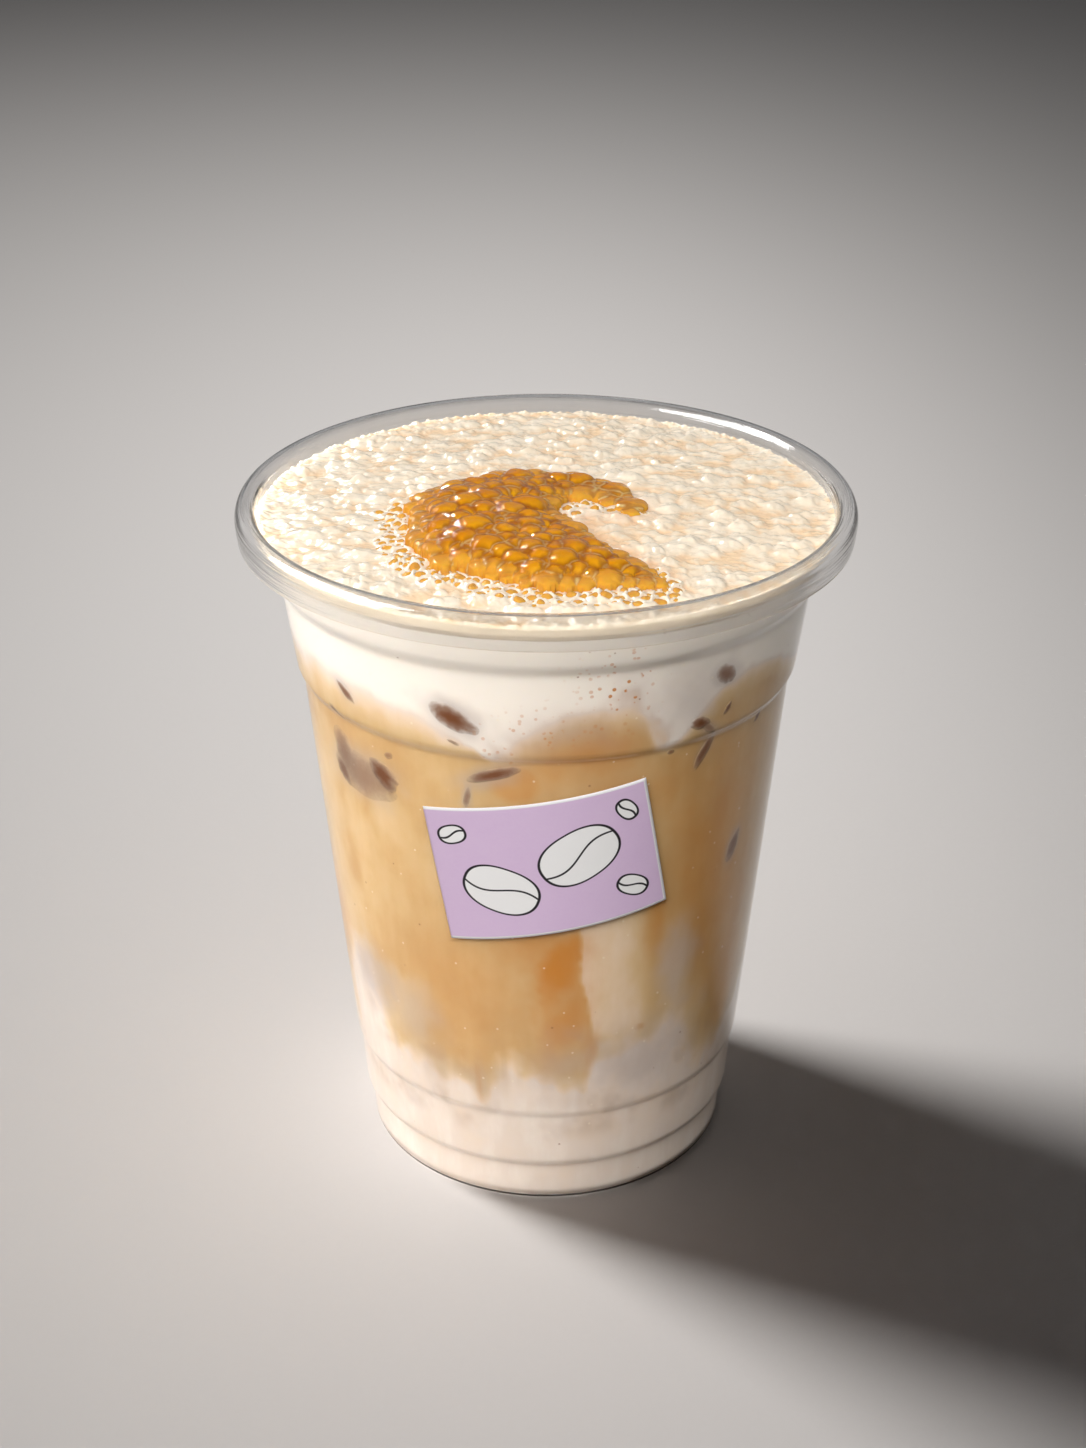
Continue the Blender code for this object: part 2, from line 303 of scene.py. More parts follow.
def newMaterial(name, **settings):
    material = bpy.data.materials.new(name)
    material.use_nodes = True
    build = Nodes(material.node_tree)
    shader = material.node_tree.nodes["Principled BSDF"]
    for key, value in settings.items():
        shader.inputs[key].default_value = value
    return material, build, shader


def passLight(material, build, shader, tint):
    # light reaches what lies behind a clear piece straight through it, as it does through thin plastic
    clear = build.add("ShaderNodeBsdfTransparent")
    clear.inputs["Color"].default_value = tint
    path = build.add("ShaderNodeLightPath").outputs["Is Shadow Ray"]
    mixer = build.add("ShaderNodeMixShader")
    build.put(mixer.inputs[0], path)
    build.tree.links.new(shader.outputs[0], mixer.inputs[1])
    build.tree.links.new(clear.outputs[0], mixer.inputs[2])
    build.tree.links.new(mixer.outputs[0], material.node_tree.nodes["Material Output"].inputs["Surface"])


# Tumbler

cup = {
    "stations": [  # radius and height of the outer wall, foot to neck
        (30.7, 1.0), (30.9, 7.4), (32.0, 8.3), (32.8, 18.4), (33.3, 19.3),
        (39.6, 87.6), (40.5, 88.9), (42.5, 103.3), (43.8, 105.2), (46.1, 113.0),
    ],
    "softness": 0.35,  # how far each crease is rounded
    "wall": 0.6,
    "lipWall": 0.4,  # the lip's sheet is drawn out thinner
    "rim": 49.0,
    "crest": 115.35,
    "skirtEdge": 110.05,
    "skirtLean": 0.3,
    "footFlat": (24.0, 29.7),
    "recess": (21.5, 1.6),  # radius and height of the pushed-up middle
    "segments": 256,
}
stationRadius = np.array([s[0] for s in cup["stations"]])
stationHeight = np.array([s[1] for s in cup["stations"]])


def wallRadius(height):
    # the straight stretches between stations, averaged over a bell curve so that creases are round
    shifts = np.linspace(-2, 2, 17)
    weights = np.exp(-(shifts**2))
    total = 0
    for shift, weight in zip(shifts, weights):
        total = total + weight * np.interp(height + shift * cup["softness"], stationHeight, stationRadius)
    return total / weights.sum()


def rowHeights(low, high):
    # rows every 2.5 mm, and close together at each crease
    rows = [np.arange(low, high, 2.5), [high]]
    for crease in stationHeight[1:-1]:
        rows.append(np.arange(crease - 1.2, crease + 1.2, 0.2))
    rows = np.unique(np.round(np.concatenate(rows), 3))
    return rows[(rows >= low) & (rows <= high)]


def makeTumbler():
    # inner floor, inner wall, over the lip, down its skirt and back under, outer wall, foot
    wall, neck = cup["wall"], stationHeight[-1]
    heights = rowHeights(1.0, neck)
    outer = wallRadius(heights)
    middle = (stationRadius[-1] - wall + cup["rim"]) / 2
    reach, rise = cup["rim"] - middle, cup["crest"] - neck
    arc = np.linspace(math.pi, 0, 22)[1:-1]
    over = np.stack([middle + reach * np.cos(arc), neck + rise * np.sin(arc)], axis=1)
    lipWall = cup["lipWall"]
    thick = lipWall + (wall - lipWall) * smoothStep(0.6, 1, arc / math.pi)
    under = np.stack([middle + (reach - thick) * np.cos(arc), neck + (rise - thick) * np.sin(arc)], axis=1)
    drop = np.linspace(neck, cup["skirtEdge"] + lipWall / 2, 7)
    lean = cup["skirtLean"] * ((neck - drop) / (neck - cup["skirtEdge"])) ** 1.5
    skirt = np.stack([cup["rim"] - lean, drop], axis=1)
    roll = np.linspace(0, math.pi, 9)[1:-1]
    half = lipWall / 2
    curl = np.stack([skirt[-1, 0] - half + half * np.cos(roll), skirt[-1, 1] - half * np.sin(roll)], axis=1)
    back = np.stack([cup["rim"] - lipWall - lean, drop], axis=1)[::-1]
    inside = np.stack([outer - wall, heights], axis=1)
    outside = np.stack([outer, heights], axis=1)[::-1]
    footIn, footOut = cup["footFlat"]
    recessRadius, recessHeight = cup["recess"]
    inside[0] = (footOut - wall / 2, wall)
    bend = np.linspace(0, 1, 9)
    slope = smoothStep(0, 1, bend)
    run = recessRadius + (footIn - recessRadius) * bend
    floorTop = np.stack([run, recessHeight * (1 - slope) + wall], axis=1)
    floorLow = np.stack([run, recessHeight * (1 - slope)], axis=1)[::-1]
    corner = np.linspace(0, math.pi / 2, 6)[1:]
    foot = np.stack([footOut + (outer[0] - footOut) * np.cos(corner), 1.0 - np.sin(corner)], axis=1)
    path = np.vstack([
        [(0.0, recessHeight + wall)], floorTop, inside, over, skirt, curl, back, under[::-1],
        outside, foot, floorLow, [(0.0, recessHeight)],
    ])
    piece, points = turnedPiece("clearTumbler", path[:, 0], path[:, 1], cup["segments"])
    along = np.cumsum(np.hypot(*np.diff(path, axis=0).T))[:-1]
    addField(piece, "along", np.concatenate([np.repeat(along, cup["segments"]), [0, 0]]))
    onSkirt = np.hypot(points[:, 0], points[:, 1]) > cup["rim"] - 1.2
    addField(piece, "lip", smoothStep(neck - 1, neck + 0.6, points[:, 2]) + onSkirt)
    return piece


def clearPlastic():
    # clear sheet, a little cloudy and wavy, tinted grey round the lip as painted shade, and finely lined
    # there
    material, build, shader = newMaterial("clearPlastic", **{
        "Base Color": (0.985, 0.985, 0.98, 1), "IOR": 1.46, "Transmission Weight": 1.0, "Metallic": 0.0,
    })
    where = build.place()
    cloud = build.noise(where, 60.0, 4.0)
    lip = build.math("MINIMUM", build.field("lip"), 1.0)
    # painted shade: the lip is tinted grey, standing for the darker band that the rolled lip shows
    build.put(shader.inputs["Base Color"], build.mix(lip, srgb(250, 250, 249), srgb(240, 239, 238)))
    build.put(shader.inputs["Roughness"], build.math("MULTIPLY_ADD", cloud, 0.05, 0.015))
    waves = build.noise(build.place((1, 1, 0.35)), 38.0, 2.0)
    x, y = build.parts(where)
    ring = build.add("ShaderNodeCombineXYZ")  # fine lines round the lip, where the sheet was rolled over
    build.put(ring.inputs["X"], build.times(build.field("along"), 2.2))
    build.put(ring.inputs["Y"], build.times(x, 14.0))
    build.put(ring.inputs["Z"], build.times(y, 14.0))
    rolled = build.times(build.noise(ring.outputs[0], 1.0, 3.0), lip)
    normal = build.bump(waves, 0.12, 0.0008)
    build.put(shader.inputs["Normal"], build.bump(rolled, 0.18, 0.0004, normal))
    passLight(material, build, shader, (0.96, 0.96, 0.955, 1))
    return material


tumbler = makeTumbler()
settle(tumbler, clearPlastic(), "clear_plastic", "cup")
print("tumbler turned,", len(tumbler.data.polygons), "faces")


# Drink: one body from the floor of the cup to just under the foam's surface

drink = {
    "reach": 0.1,  # how far it goes into the wall, so that no air shows between them
    "top": 110.6,
    "segments": 420,
    "rowStep": 0.54,
    "seed": 3,
    "shades": [  # share of coffee, and the colour there
        (0.0, (250, 241, 231)), (0.1, (236, 221, 208)), (0.22, (238, 216, 192)),
        (0.5, (228, 200, 158)), (0.8, (218, 185, 134)), (1.0, (205, 162, 106)),
    ],
    "channels": ("Coffee", "Amber", "Haze", "Speck"),
}
# where milk gives way to coffee round the wall: degrees, height, half the width of the change
milkEdge = [
    (-150, 33, 4), (-115, 41, 4), (-80, 31, 4), (-64, 37, 4), (-56, 33, 4), (-50, 27.5, 4), (-44, 26, 3.5),
    (-38, 28, 4), (-31, 26.5, 4.5), (-23, 25, 4.5), (-16, 25, 4.5), (-13.5, 28.5, 4), (-8.5, 29, 4),
    (-6, 27, 4), (0, 25.5, 3.5), (11, 25.2, 3), (14, 31, 3), (20, 33, 3.5), (28, 34, 4), (36, 35, 4),
    (46, 28, 4), (56, 25, 4), (70, 30, 4), (95, 41, 4), (125, 27, 4), (160, 34, 4),
]
# where coffee gives way to foam, likewise
coffeeEdge = [
    (-150, 95, 3), (-128, 88, 2), (-112, 96, 3), (-90, 93, 3), (-62, 92.5, 5.5), (-50, 92.5, 5.5),
    (-38, 91.5, 5), (-27, 91, 4), (-20, 90.3, 2.5), (-15, 89.6, 1), (-12.5, 88.2, 0.8), (-7, 88.5, 3),
    (-1, 91, 4.5), (5, 93, 4.5), (18, 94, 4), (21, 93, 2), (23.5, 88.5, 1.2), (27, 87, 1.5), (30, 87.5, 2),
    (34, 91.5, 2.5), (40, 94, 3), (48, 96.5, 3), (60, 94.5, 3), (76, 91, 2.5), (95, 97, 3), (112, 88, 1.5),
    (130, 96, 3), (165, 91, 2.5),
]
# the upright left edge of the cream beside the amber: height, degrees
creamEdge = [(26, 15), (32, 13.1), (39, 11.5), (48, 8.5), (57, 8.2), (64, 9)]
# channel, degrees, height, half width, half height (mm), lean (degrees), softness, amount
drinkPatches = [
    ("milk", 36, 42, 2.6, 11, 2, 0.8, 0.62),
    ("milk", 38, 33, 4.0, 6, 0, 0.8, 0.5),
    ("milk", -60, 34, 6.5, 9, 18, 0.6, 0.75),
    ("milk", -46, 35, 5.0, 6, -10, 0.9, 0.35),
    ("milk", -67, 62, 4.5, 26, 0, 0.9, 0.35),
    ("milk", -52, 66, 3.2, 8, 6, 0.9, 0.22),
    ("milk", -38, 72, 5.0, 4, -30, 0.9, 0.18),
    ("milk", -24, 66, 3.0, 12, 6, 0.9, 0.16),
    ("coffee", 11, 91, 7.5, 4.6, 0, 0.9, 1.0),  # tan patch under the foam
    ("coffee", 46, 91, 6.0, 3.6, 12, 0.9, 0.35),
    ("coffee", 48, 40, 4.2, 15, 4, 0.5, 0.85),
    ("coffee", -18, 24, 1.2, 4, 0, 0.9, 0.5),
    ("coffee", -40, 30, 1.6, 4, 6, 0.9, 0.5),
    ("coffee", 27.5, 46, 1.8, 8, 10, 0.8, 0.6),
    ("coffee", 19, 31.5, 3.0, 1.4, 10, 0.9, 0.45),
    ("coffee", 26, 34.5, 1.5, 2.6, -30, 0.9, 0.55),
    ("coffee", -47, 36, 2.4, 4.5, 10, 0.9, 0.5),
    ("amber", 3.5, 49, 3.6, 7, -12, 0.9, 1.00),
    ("amber", 6.5, 39, 3.0, 9, -20, 0.9, 0.75),
    ("amber", -3, 55, 7.0, 6, 0, 0.9, 0.55),
    ("amber", 28, 57, 2.0, 7, 3, 0.9, 0.60),
    ("amber", -20, 44, 8.0, 12, 0, 0.9, 0.28),
    ("amber", -19, 24, 0.5, 3.4, 4, 0.9, 0.7),
    ("amber", 12.5, 32, 0.8, 5, -8, 0.8, 0.6),
    ("amber", 44, 62, 8.0, 18, 0, 0.9, 0.50),
    ("amber", 9, 90, 9.0, 5.5, 0, 0.9, 0.65),
    ("amber", 18, 80, 9.0, 6.0, 0, 0.9, 0.30),
    ("amber", -6.8, 83.8, 3.7, 3.6, 0, 0.3, 0.50),  # tan disc by the crescent of ice
    ("amber", 58, 40, 3.0, 16, 0, 0.9, 0.45),
    ("amber", 26, 35.2, 0.7, 0.6, 0, 0.6, 1.0),
    ("haze", -52, 38, 5.5, 5.5, 24, 0.7, 0.75),
    ("haze", -38, 34, 4.5, 6, 0, 0.9, 0.5),
    ("haze", -48, 79.5, 7.2, 4.6, 10, 0.7, 0.55),
    ("haze", -20.5, 95.3, 4.6, 2.5, -25, 0.8, 0.7),
    ("haze", -12.5, 84.6, 4.4, 1.7, 20, 0.8, 0.6),
    ("haze", -18, 81, 0.7, 2.6, -8, 0.8, 0.8),
    ("haze", -48.3, 93.8, 2.0, 1.3, -38, 0.9, 0.45),
    ("haze", 40, 98.4, 3.6, 2.3, -20, 0.8, 0.75),
    ("haze", 37, 90, 3.0, 1.4, -30, 0.8, 0.65),
    ("haze", 37.5, 85.3, 2.8, 1.2, 58, 0.8, 0.7),
    ("haze", 52.6, 64.3, 2.8, 1.6, 67, 0.8, 0.7),
    ("haze", 5, 29.5, 5.0, 4.0, 0, 0.8, 0.5),
    ("haze", 26, 29, 11.0, 6.0, 0, 0.9, 0.6),
    ("haze", 4, 93.5, 9.0, 3.5, 0, 0.9, 0.5),
    ("haze", 30, 96, 9.0, 6.0, 0, 0.9, 0.45),
    ("haze", 36, 44, 3.6, 9.0, 0, 0.8, 0.55),
    ("speck", 15, 99.5, 6.0, 7.0, 0, 0.8, 1.0),
    ("speck", -1, 93, 8.0, 5.0, 0, 0.8, 0.7),
]
# ice that touches the wall: degrees, height, half length, half width (mm), lean (degrees), how brown
iceAtWall = [
    (-48.1, 93.7, 1.7, 0.65, -38, 0.8), (-20.0, 94.8, 3.4, 1.5, -25, 1.0),
    (-53.4, 88.5, 1.5, 0.45, -30, 0.6), (-48.6, 78.6, 5.6, 2.9, -8, 0.45),
    (-54.2, 81.2, 3.6, 2.1, -75, 0.55), (-55.3, 77.4, 2.0, 1.2, -50, 0.75),
    (-40.4, 80.4, 2.6, 1.7, -35, 1.0), (-11.6, 85.1, 3.3, 0.75, 18, 0.95),
    (-18.0, 80.5, 1.5, 0.45, 80, 0.5), (-37.9, 84.5, 0.7, 0.5, 30, 0.5),
    (-19.9, 90.5, 0.8, 0.3, -20, 0.5), (40.2, 98.7, 1.8, 1.3, -35, 0.7), (42.1, 92.4, 0.9, 0.42, 60, 0.8),
    (34.6, 91.3, 1.5, 0.9, -15, 0.95), (37.3, 89.9, 1.5, 0.55, -40, 0.45), (37.5, 85.3, 2.5, 0.7, 58, 0.75),
    (56.0, 86.9, 0.9, 0.5, 50, 0.8), (52.6, 64.3, 2.3, 1.05, 67, 0.75), (28.4, 87.1, 0.5, 0.35, 0, 0.6),
]


def unseenPatches(count):
    # the far side gets plumes, streaks and ice of the same sizes as the near side, at seeded places
    draw = np.random.default_rng(drink["seed"])
    paint, ice = [], []
    for k in range(count):
        angle = 78 + 204 * (k + draw.uniform(0.2, 0.8)) / count
        height, width, tall = draw.uniform(36, 46), draw.uniform(2, 4), draw.uniform(8, 14)
        paint.append(("milk", angle, height, width, tall, 3, 0.8, 0.6))
        height, tall = draw.uniform(28, 36), draw.uniform(4, 9)
        paint.append(("coffee", angle + 12, height, 1.8, tall, 0, 0.9, 0.6))
        height, width, tall = draw.uniform(42, 78), draw.uniform(3, 7), draw.uniform(8, 14)
        paint.append(("amber", angle + 5, height, width, tall, 0, 0.9, 0.6))
        height, length, lean = draw.uniform(62, 97), draw.uniform(0.9, 3.6), draw.uniform(-70, 70)
        width = length * draw.uniform(0.3, 0.6)
        ice.append((angle, height, length, width, lean, draw.uniform(0.5, 1)))
        paint.append(("haze", angle, height, length + 1.2, width + 1.0, lean, 0.8, 0.65))
    return paint, ice


unseenPaint, unseenIce = unseenPatches(12)
drinkPatches += unseenPaint
iceAtWall += unseenIce


def localPlace(angle, height, radius, a0, z0, lean):
    # millimetres along and across a patch that leans on the unrolled wall
    along, up, tilt = np.radians(turnBetween(angle, a0)) * radius, height - z0, math.radians(lean)
    return along * math.cos(tilt) + up * math.sin(tilt), up * math.cos(tilt) - along * math.sin(tilt)


def patchCover(channel, angle, height, radius, ragged):
    # each patch is an ellipse with a soft, uneven edge
    cover = np.zeros_like(angle)
    for kind, a0, z0, halfWidth, halfHeight, lean, soft, amount in drinkPatches:
        if kind == channel:
            s, t = localPlace(angle, height, radius, a0, z0, lean)
            d = np.sqrt((s / halfWidth) ** 2 + (t / halfHeight) ** 2) + ragged * soft
            cover = np.maximum(cover, amount * (1 - smoothStep(1 - soft, 1 + soft, d)))
    return cover


def edgeAt(angle, stations):
    # height and half width of a border at a bearing, its corners rounded over two degrees
    place, height, half = np.array(stations, float).T
    total, width = 0, 0
    for shift in (-1.0, -0.5, 0.0, 0.5, 1.0):
        total = total + np.interp(angle + shift, place, height, period=360) / 5
        width = width + np.interp(angle + shift, place, half, period=360) / 5
    return total, width


def drinkFields(x, y, z):
    # share of coffee against milk: a smooth step up at the milk's border times one down at the foam's, both
    # shaken by noise, with patches over it; and how far amber, haze and specks show
    angle, radius = bearingOf(x, y), np.hypot(x, y)
    turns = angle / 360 + 0.5
    cloud = softNoise(turns * 44, z * 0.19, 31, 44) + 0.5 * softNoise(turns * 96, z * 0.42, 32, 96) - 0.75
    fine = softNoise(turns * 210, z * 0.8, 35, 210) - 0.5
    streak = softNoise(turns * 90, z * 0.08, 33, 90) - 0.5
    streak = streak + 0.6 * (softNoise(turns * 190, z * 0.1, 34, 190) - 0.5)
    lowEdge, lowHalf = edgeAt(angle, milkEdge)
    highEdge, highHalf = edgeAt(angle, coffeeEdge)
    rising = smoothStep(-1, 1, (z - lowEdge + 4.6 * cloud + 1.6 * streak + 1.6 * fine) / lowHalf)
    falling = smoothStep(-1, 1, (highEdge - z + 1.4 * cloud + 0.5 * fine) / highHalf)
    drift = 0.6 * cloud + 0.5 * (softNoise(turns * 20, z * 0.04, 41, 20) - 0.5) + 0.35 * streak
    share = rising * falling * (0.86 + 0.16 * drift)
    ragged = 0.9 * cloud + 0.3 * fine
    coffee = patchCover("coffee", angle, z, radius, ragged)
    share = share + (0.88 - share) * coffee * (share < 0.88)
    past = angle - np.interp(z, *np.array(creamEdge, float).T)
    cream = smoothStep(-0.5, 0.9, past + 0.9 * fine) * (1 - smoothStep(9, 22, past + 3 * cloud))
    cream = cream * smoothStep(30, 38, z + 3 * cloud) * (1 - smoothStep(56, 63, z + 4 * cloud))
    share = share * (1 - 0.62 * cream)
    milk = patchCover("milk", angle, z, radius, ragged)
    share = np.clip(share * (1 - milk), 0, 1)
    faint = 0.6 * smoothStep(-0.1, 0.7, cloud + 0.3 * fine) * smoothStep(12, 17, z) * (1 - rising)
    border = 0.5 * np.exp(-(((z - lowEdge + 1) / 5) ** 2)) * smoothStep(-0.5, 0.5, cloud + streak)
    faint = np.maximum(faint, border)
    beforeEdge = smoothStep(-7, -0.6, past) * (1 - smoothStep(-0.6, 0.4, past))
    glow = 0.55 * beforeEdge * smoothStep(28, 34, z) * (1 - smoothStep(54, 62, z))
    amber = np.maximum(patchCover("amber", angle, z, radius, ragged), glow)
    return {
        "coffee": np.maximum(share, 0.16 * faint + 0.1 * smoothStep(60, 25, z)),
        "amber": amber,
        "haze": np.maximum(patchCover("haze", angle, z, radius, ragged), faint),
        "speck": patchCover("speck", angle, z, radius, ragged),
    }


def makeDrink():
    # the inside of the cup, set a hair into its wall
    reach = cup["wall"] - drink["reach"]
    heights = np.arange(drink["top"], 1.4, -drink["rowStep"])
    side = wallRadius(heights) - reach
    footIn, footOut = cup["footFlat"]
    recessRadius, recessHeight = cup["recess"]
    lowRadii = [footOut - 0.1, footIn, recessRadius, 0.0]
    lowHeights = [reach, reach, recessHeight + reach, recessHeight + reach]
    capRadii = np.array([0, 0.4, 0.8, 0.95]) * side[0]
    radii = np.concatenate([capRadii, side, lowRadii])
    levels = np.concatenate([np.full(4, drink["top"]), heights, lowHeights])
    piece, points = turnedPiece("drinkBody", radii, levels, drink["segments"])
    for name, values in drinkFields(*points.T).items():
        addField(piece, name, values)
    return piece


def makeIce(rings=12, spokes=40):
    # each piece is a pebble with a flat face on the wall: an uneven ellipse there, bulging into the drink by
    # the root of 1 - s^2, s being the share of the way out to its rim
    share = np.linspace(0, 1, rings)[1:, None]
    turn = (np.arange(spokes) / spokes * tau)[None, :]
    points, faces, cores, rims, start = [], [], [], [], 0
    for k, (a0, z0, length, width, lean, core) in enumerate(iceAtWall):
        ragged = 1.5 + 0.4 * (softNoise(turn / tau * 7, k + 0 * turn, 45, 7) - 0.5)
        ragged = ragged + 0.24 * (softNoise(turn / tau * 17, k + 0 * turn, 46, 17) - 0.5)
        s, t = share * np.cos(turn) * length * ragged, share * np.sin(turn) * width * ragged
        tilt, base = math.radians(lean), float(wallRadius(z0))
        along, up = s * math.cos(tilt) - t * math.sin(tilt), s * math.sin(tilt) + t * math.cos(tilt)
        angle, z = math.radians(a0) + along / base, z0 + up
        bulge = (0.05 + 0.06 * core) * (1 - share**4) - 0.12 * share**8
        outer = wallRadius(z) - cup["wall"] + drink["reach"] + bulge
        inner = outer - 1.1 * width * np.sqrt(1 - share**2) - 0.02
        points += [bearingPoints(r, angle, z) for r in (outer, inner)]
        middles = np.array([outer[0].mean(), inner[0].mean()])
        points.append(bearingPoints(middles, np.full(2, math.radians(a0)), z0))
        count = (rings - 1) * spokes
        front = gridFaces(rings - 1, spokes, True) + start
        first, last = start + np.arange(spokes), start + np.arange(spokes) + count - spokes
        hub = start + 2 * count
        faces += front.tolist() + (front[:, ::-1] + count).tolist()
        faces += fanFaces(hub, first) + fanFaces(hub + 1, first + count, inward=True)
        faces += bandFaces(last, last + count)
        rims.append(np.concatenate([np.repeat(share.ravel(), spokes)] * 2 + [[0, 0]]))
        cores.append(np.full(2 * count + 2, core))
        start += 2 * count + 2
    points = np.vstack(points)
    piece = meshFrom("iceAtTheWall", points, faces)
    for name, values in drinkFields(*points.T).items():
        addField(piece, name, values)
    addField(piece, "rim", np.concatenate(rims))
    addField(piece, "core", np.concatenate(cores))
    return piece


def liquidGroup():
    # colour of the drink from its shares: milk to coffee through fine upright streaks, with amber, haze and
    # specks over it, then small bubbles and motes
    group = bpy.data.node_groups.new("liquidColour", "ShaderNodeTree")
    for name in drink["channels"]:
        group.interface.new_socket(name, in_out="INPUT", socket_type="NodeSocketFloat")
    group.interface.new_socket("Colour", in_out="OUTPUT", socket_type="NodeSocketColor")
    build = Nodes(group)
    given = build.add("NodeGroupInput").outputs
    streaks = build.noise(build.place((1, 1, 0.16)), 260.0, 4.0, 0.6)
    clouds = build.noise(build.place((1, 1, 0.7)), 170.0, 4.0, 0.55)
    share = given["Coffee"]
    edge = build.times(share, build.math("SUBTRACT", 1.0, share))
    shake = build.math("ADD", build.math("SUBTRACT", streaks, 0.5), build.math("SUBTRACT", clouds, 0.5))
    share = build.math("ADD", share, build.times(build.times(shake, edge), 1.5), clamp=True)
    drift = build.times(build.math("SUBTRACT", clouds, 0.5), 0.10)
    share = build.math("ADD", share, build.times(drift, share), clamp=True)
    colour = build.ramp(share, [(place, srgb(*shade)) for place, shade in drink["shades"]])
    amber = build.times(given["Amber"], build.math("ADD", share, 0.1), clamp=True)
    colour = build.mix(amber, colour, srgb(208, 140, 52))
    haze = build.times(given["Haze"], build.math("MULTIPLY_ADD", clouds, 0.5, 0.55))
    colour = build.mix(haze, colour, srgb(186, 172, 166))
    dots = build.step(0.30, 0.20, build.cells(build.place(), 820.0))
    sparse = build.step(0.47, 0.56, build.noise(build.place(), 330.0, 2.0))
    dots = build.times(build.times(dots, sparse), given["Speck"])
    colour = build.mix(dots, colour, srgb(210, 146, 90))
    seeds = build.step(0.075, 0.045, build.cells(build.place(), 300.0))
    colour = build.mix(build.times(seeds, 0.5), colour, srgb(248, 236, 214))
    motes = build.step(0.05, 0.03, build.cells(build.place((1, 1, 1), (0.4, 0.2, 0.9)), 210.0))
    colour = build.mix(build.times(motes, 0.55), colour, srgb(150, 96, 56))
    build.put(build.add("NodeGroupOutput").inputs["Colour"], colour)
    return group


liquidColour = liquidGroup()
liquidLook = {
    "Roughness": 0.6, "IOR": 1.34, "Specular IOR Level": 0.0,
    "Subsurface Weight": 0.2, "Subsurface Radius": (0.9, 0.7, 0.5), "Subsurface Scale": 0.0025,
}


def liquidShade(build):
    # the drink's colour, from the fields of the piece that wears it
    look = build.add("ShaderNodeGroup", node_tree=liquidColour)
    for name in drink["channels"]:
        build.put(look.inputs[name], build.field(name.lower()))
    return look.outputs["Colour"]


def drinkLiquid():
    material, build, shader = newMaterial("milkAndCoffee", **liquidLook)
    build.put(shader.inputs["Base Color"], liquidShade(build))
    return material


def wallIce():
    # brown in the middle, where the clear block touches the wall, then grey, then the drink's own colour
    material, build, shader = newMaterial("iceSeenThroughWall", **liquidLook)
    clouds = build.noise(build.place(), 900.0, 4.0, 0.6)
    rim = build.math("ADD", build.field("rim"), build.times(build.math("SUBTRACT", clouds, 0.5), 0.5))
    core = build.field("core")
    brown = build.times(build.step(1.0, 0.15, rim), core)
    grey = build.times(build.step(1.05, 0.5, rim), build.times(core, 0.85))
    colour = build.mix(grey, liquidShade(build), srgb(160, 138, 122))
    build.put(shader.inputs["Base Color"], build.mix(brown, colour, srgb(124, 74, 40)))
    return material


drinkBody = makeDrink()
settle(drinkBody, drinkLiquid(), "milky_coffee", "milk", "coffee")
iceBlocks = makeIce()
settle(iceBlocks, wallIce(), "ice")
print("drink poured,", len(drinkBody.data.polygons), "faces, with", len(iceAtWall), "pieces of ice")


# Crescent of caramel froth: where it lies on the foam, and its bubbles

froth = {
    "spine": [  # x, y, half width
        (16.0, -31.5, 1.3), (8.8, -28.3, 5.2), (0.0, -24.3, 9.6), (-8.4, -16.5, 12.0), (-10.2, -6.0, 11.0),
        (-5.0, 0.8, 8.2), (3.0, 5.0, 4.8), (9.8, 2.2, 3.0), (13.4, -5.2, 1.3),
    ],
    "flatness": 0.23,  # height of the core over its half width
    "bubbles": {"count": 240, "radius": (0.9, 3.3), "spacing": 0.5},
    "fillers": {"count": 160, "radius": (0.35, 1.1), "spacing": 0.80},
    "strays": {"count": 330, "radius": (0.22, 1.2), "spacing": 0.9},  # in the white foam round the crescent
    "straySquash": 0.55,
    "straySink": 0.25,
    "squash": 0.62,  # height of a bubble's cap over that of a ball
    "sink": 0.28,  # how far a cap is pushed down, over its own height
    "weld": 5.0,  # the larger, the sharper the valley between two caps
    "step": 0.18,  # grid of the finished surface
    "field": ((-28, 22), (-43, 22)),  # reach of the bubbles' centres in x and in y
    "grid": ((-28, 22), (-42, 20)),
    "bed": 1.4,  # how far the heap goes down into the foam
    "seed": 11,
}


def crescentDepth(x, y):
    # how far inside the crescent a place is (below 0 outside), and how high its core stands there: flatness
    # times the root of w^2 - d^2, with the half width w and the distance d from the spine
    spine = np.array(froth["spine"])
    stations = np.linspace(0, len(spine) - 1, 65)
    along = np.arange(len(spine))
    depth = np.full(np.shape(x), -99.0)
    swell = np.zeros(np.shape(x))
    for a, b, w in zip(*(np.interp(stations, along, spine[:, k]) for k in range(3))):
        away = np.hypot(x - a, y - b)
        depth = np.maximum(depth, w - away)
        swell = np.maximum(swell, froth["flatness"] * np.sqrt(np.maximum(w * w - away * away, 0)))
    return depth, swell


def scatterRounds(plan, allowed, seed, kept):
    # large rounds first, each kept a share of the two radii away from the others
    draw = np.random.default_rng(seed)
    small, large = plan["radius"]
    added = []
    for k in range(plan["count"]):
        radius = large - (large - small) * (k / plan["count"]) ** 0.5
        x, y = (draw.uniform(*reach, 220) for reach in froth["field"])
        fits = allowed(x, y, radius)
        for px, py in zip(x[fits], y[fits]):
            away = np.hypot(kept[:, 0] - px, kept[:, 1] - py)
            if np.all(away > plan["spacing"] * (kept[:, 2] + radius)):
                kept = np.vstack([kept, [px, py, radius]])
                added.append([px, py, radius])
                break
    return np.array(added), kept


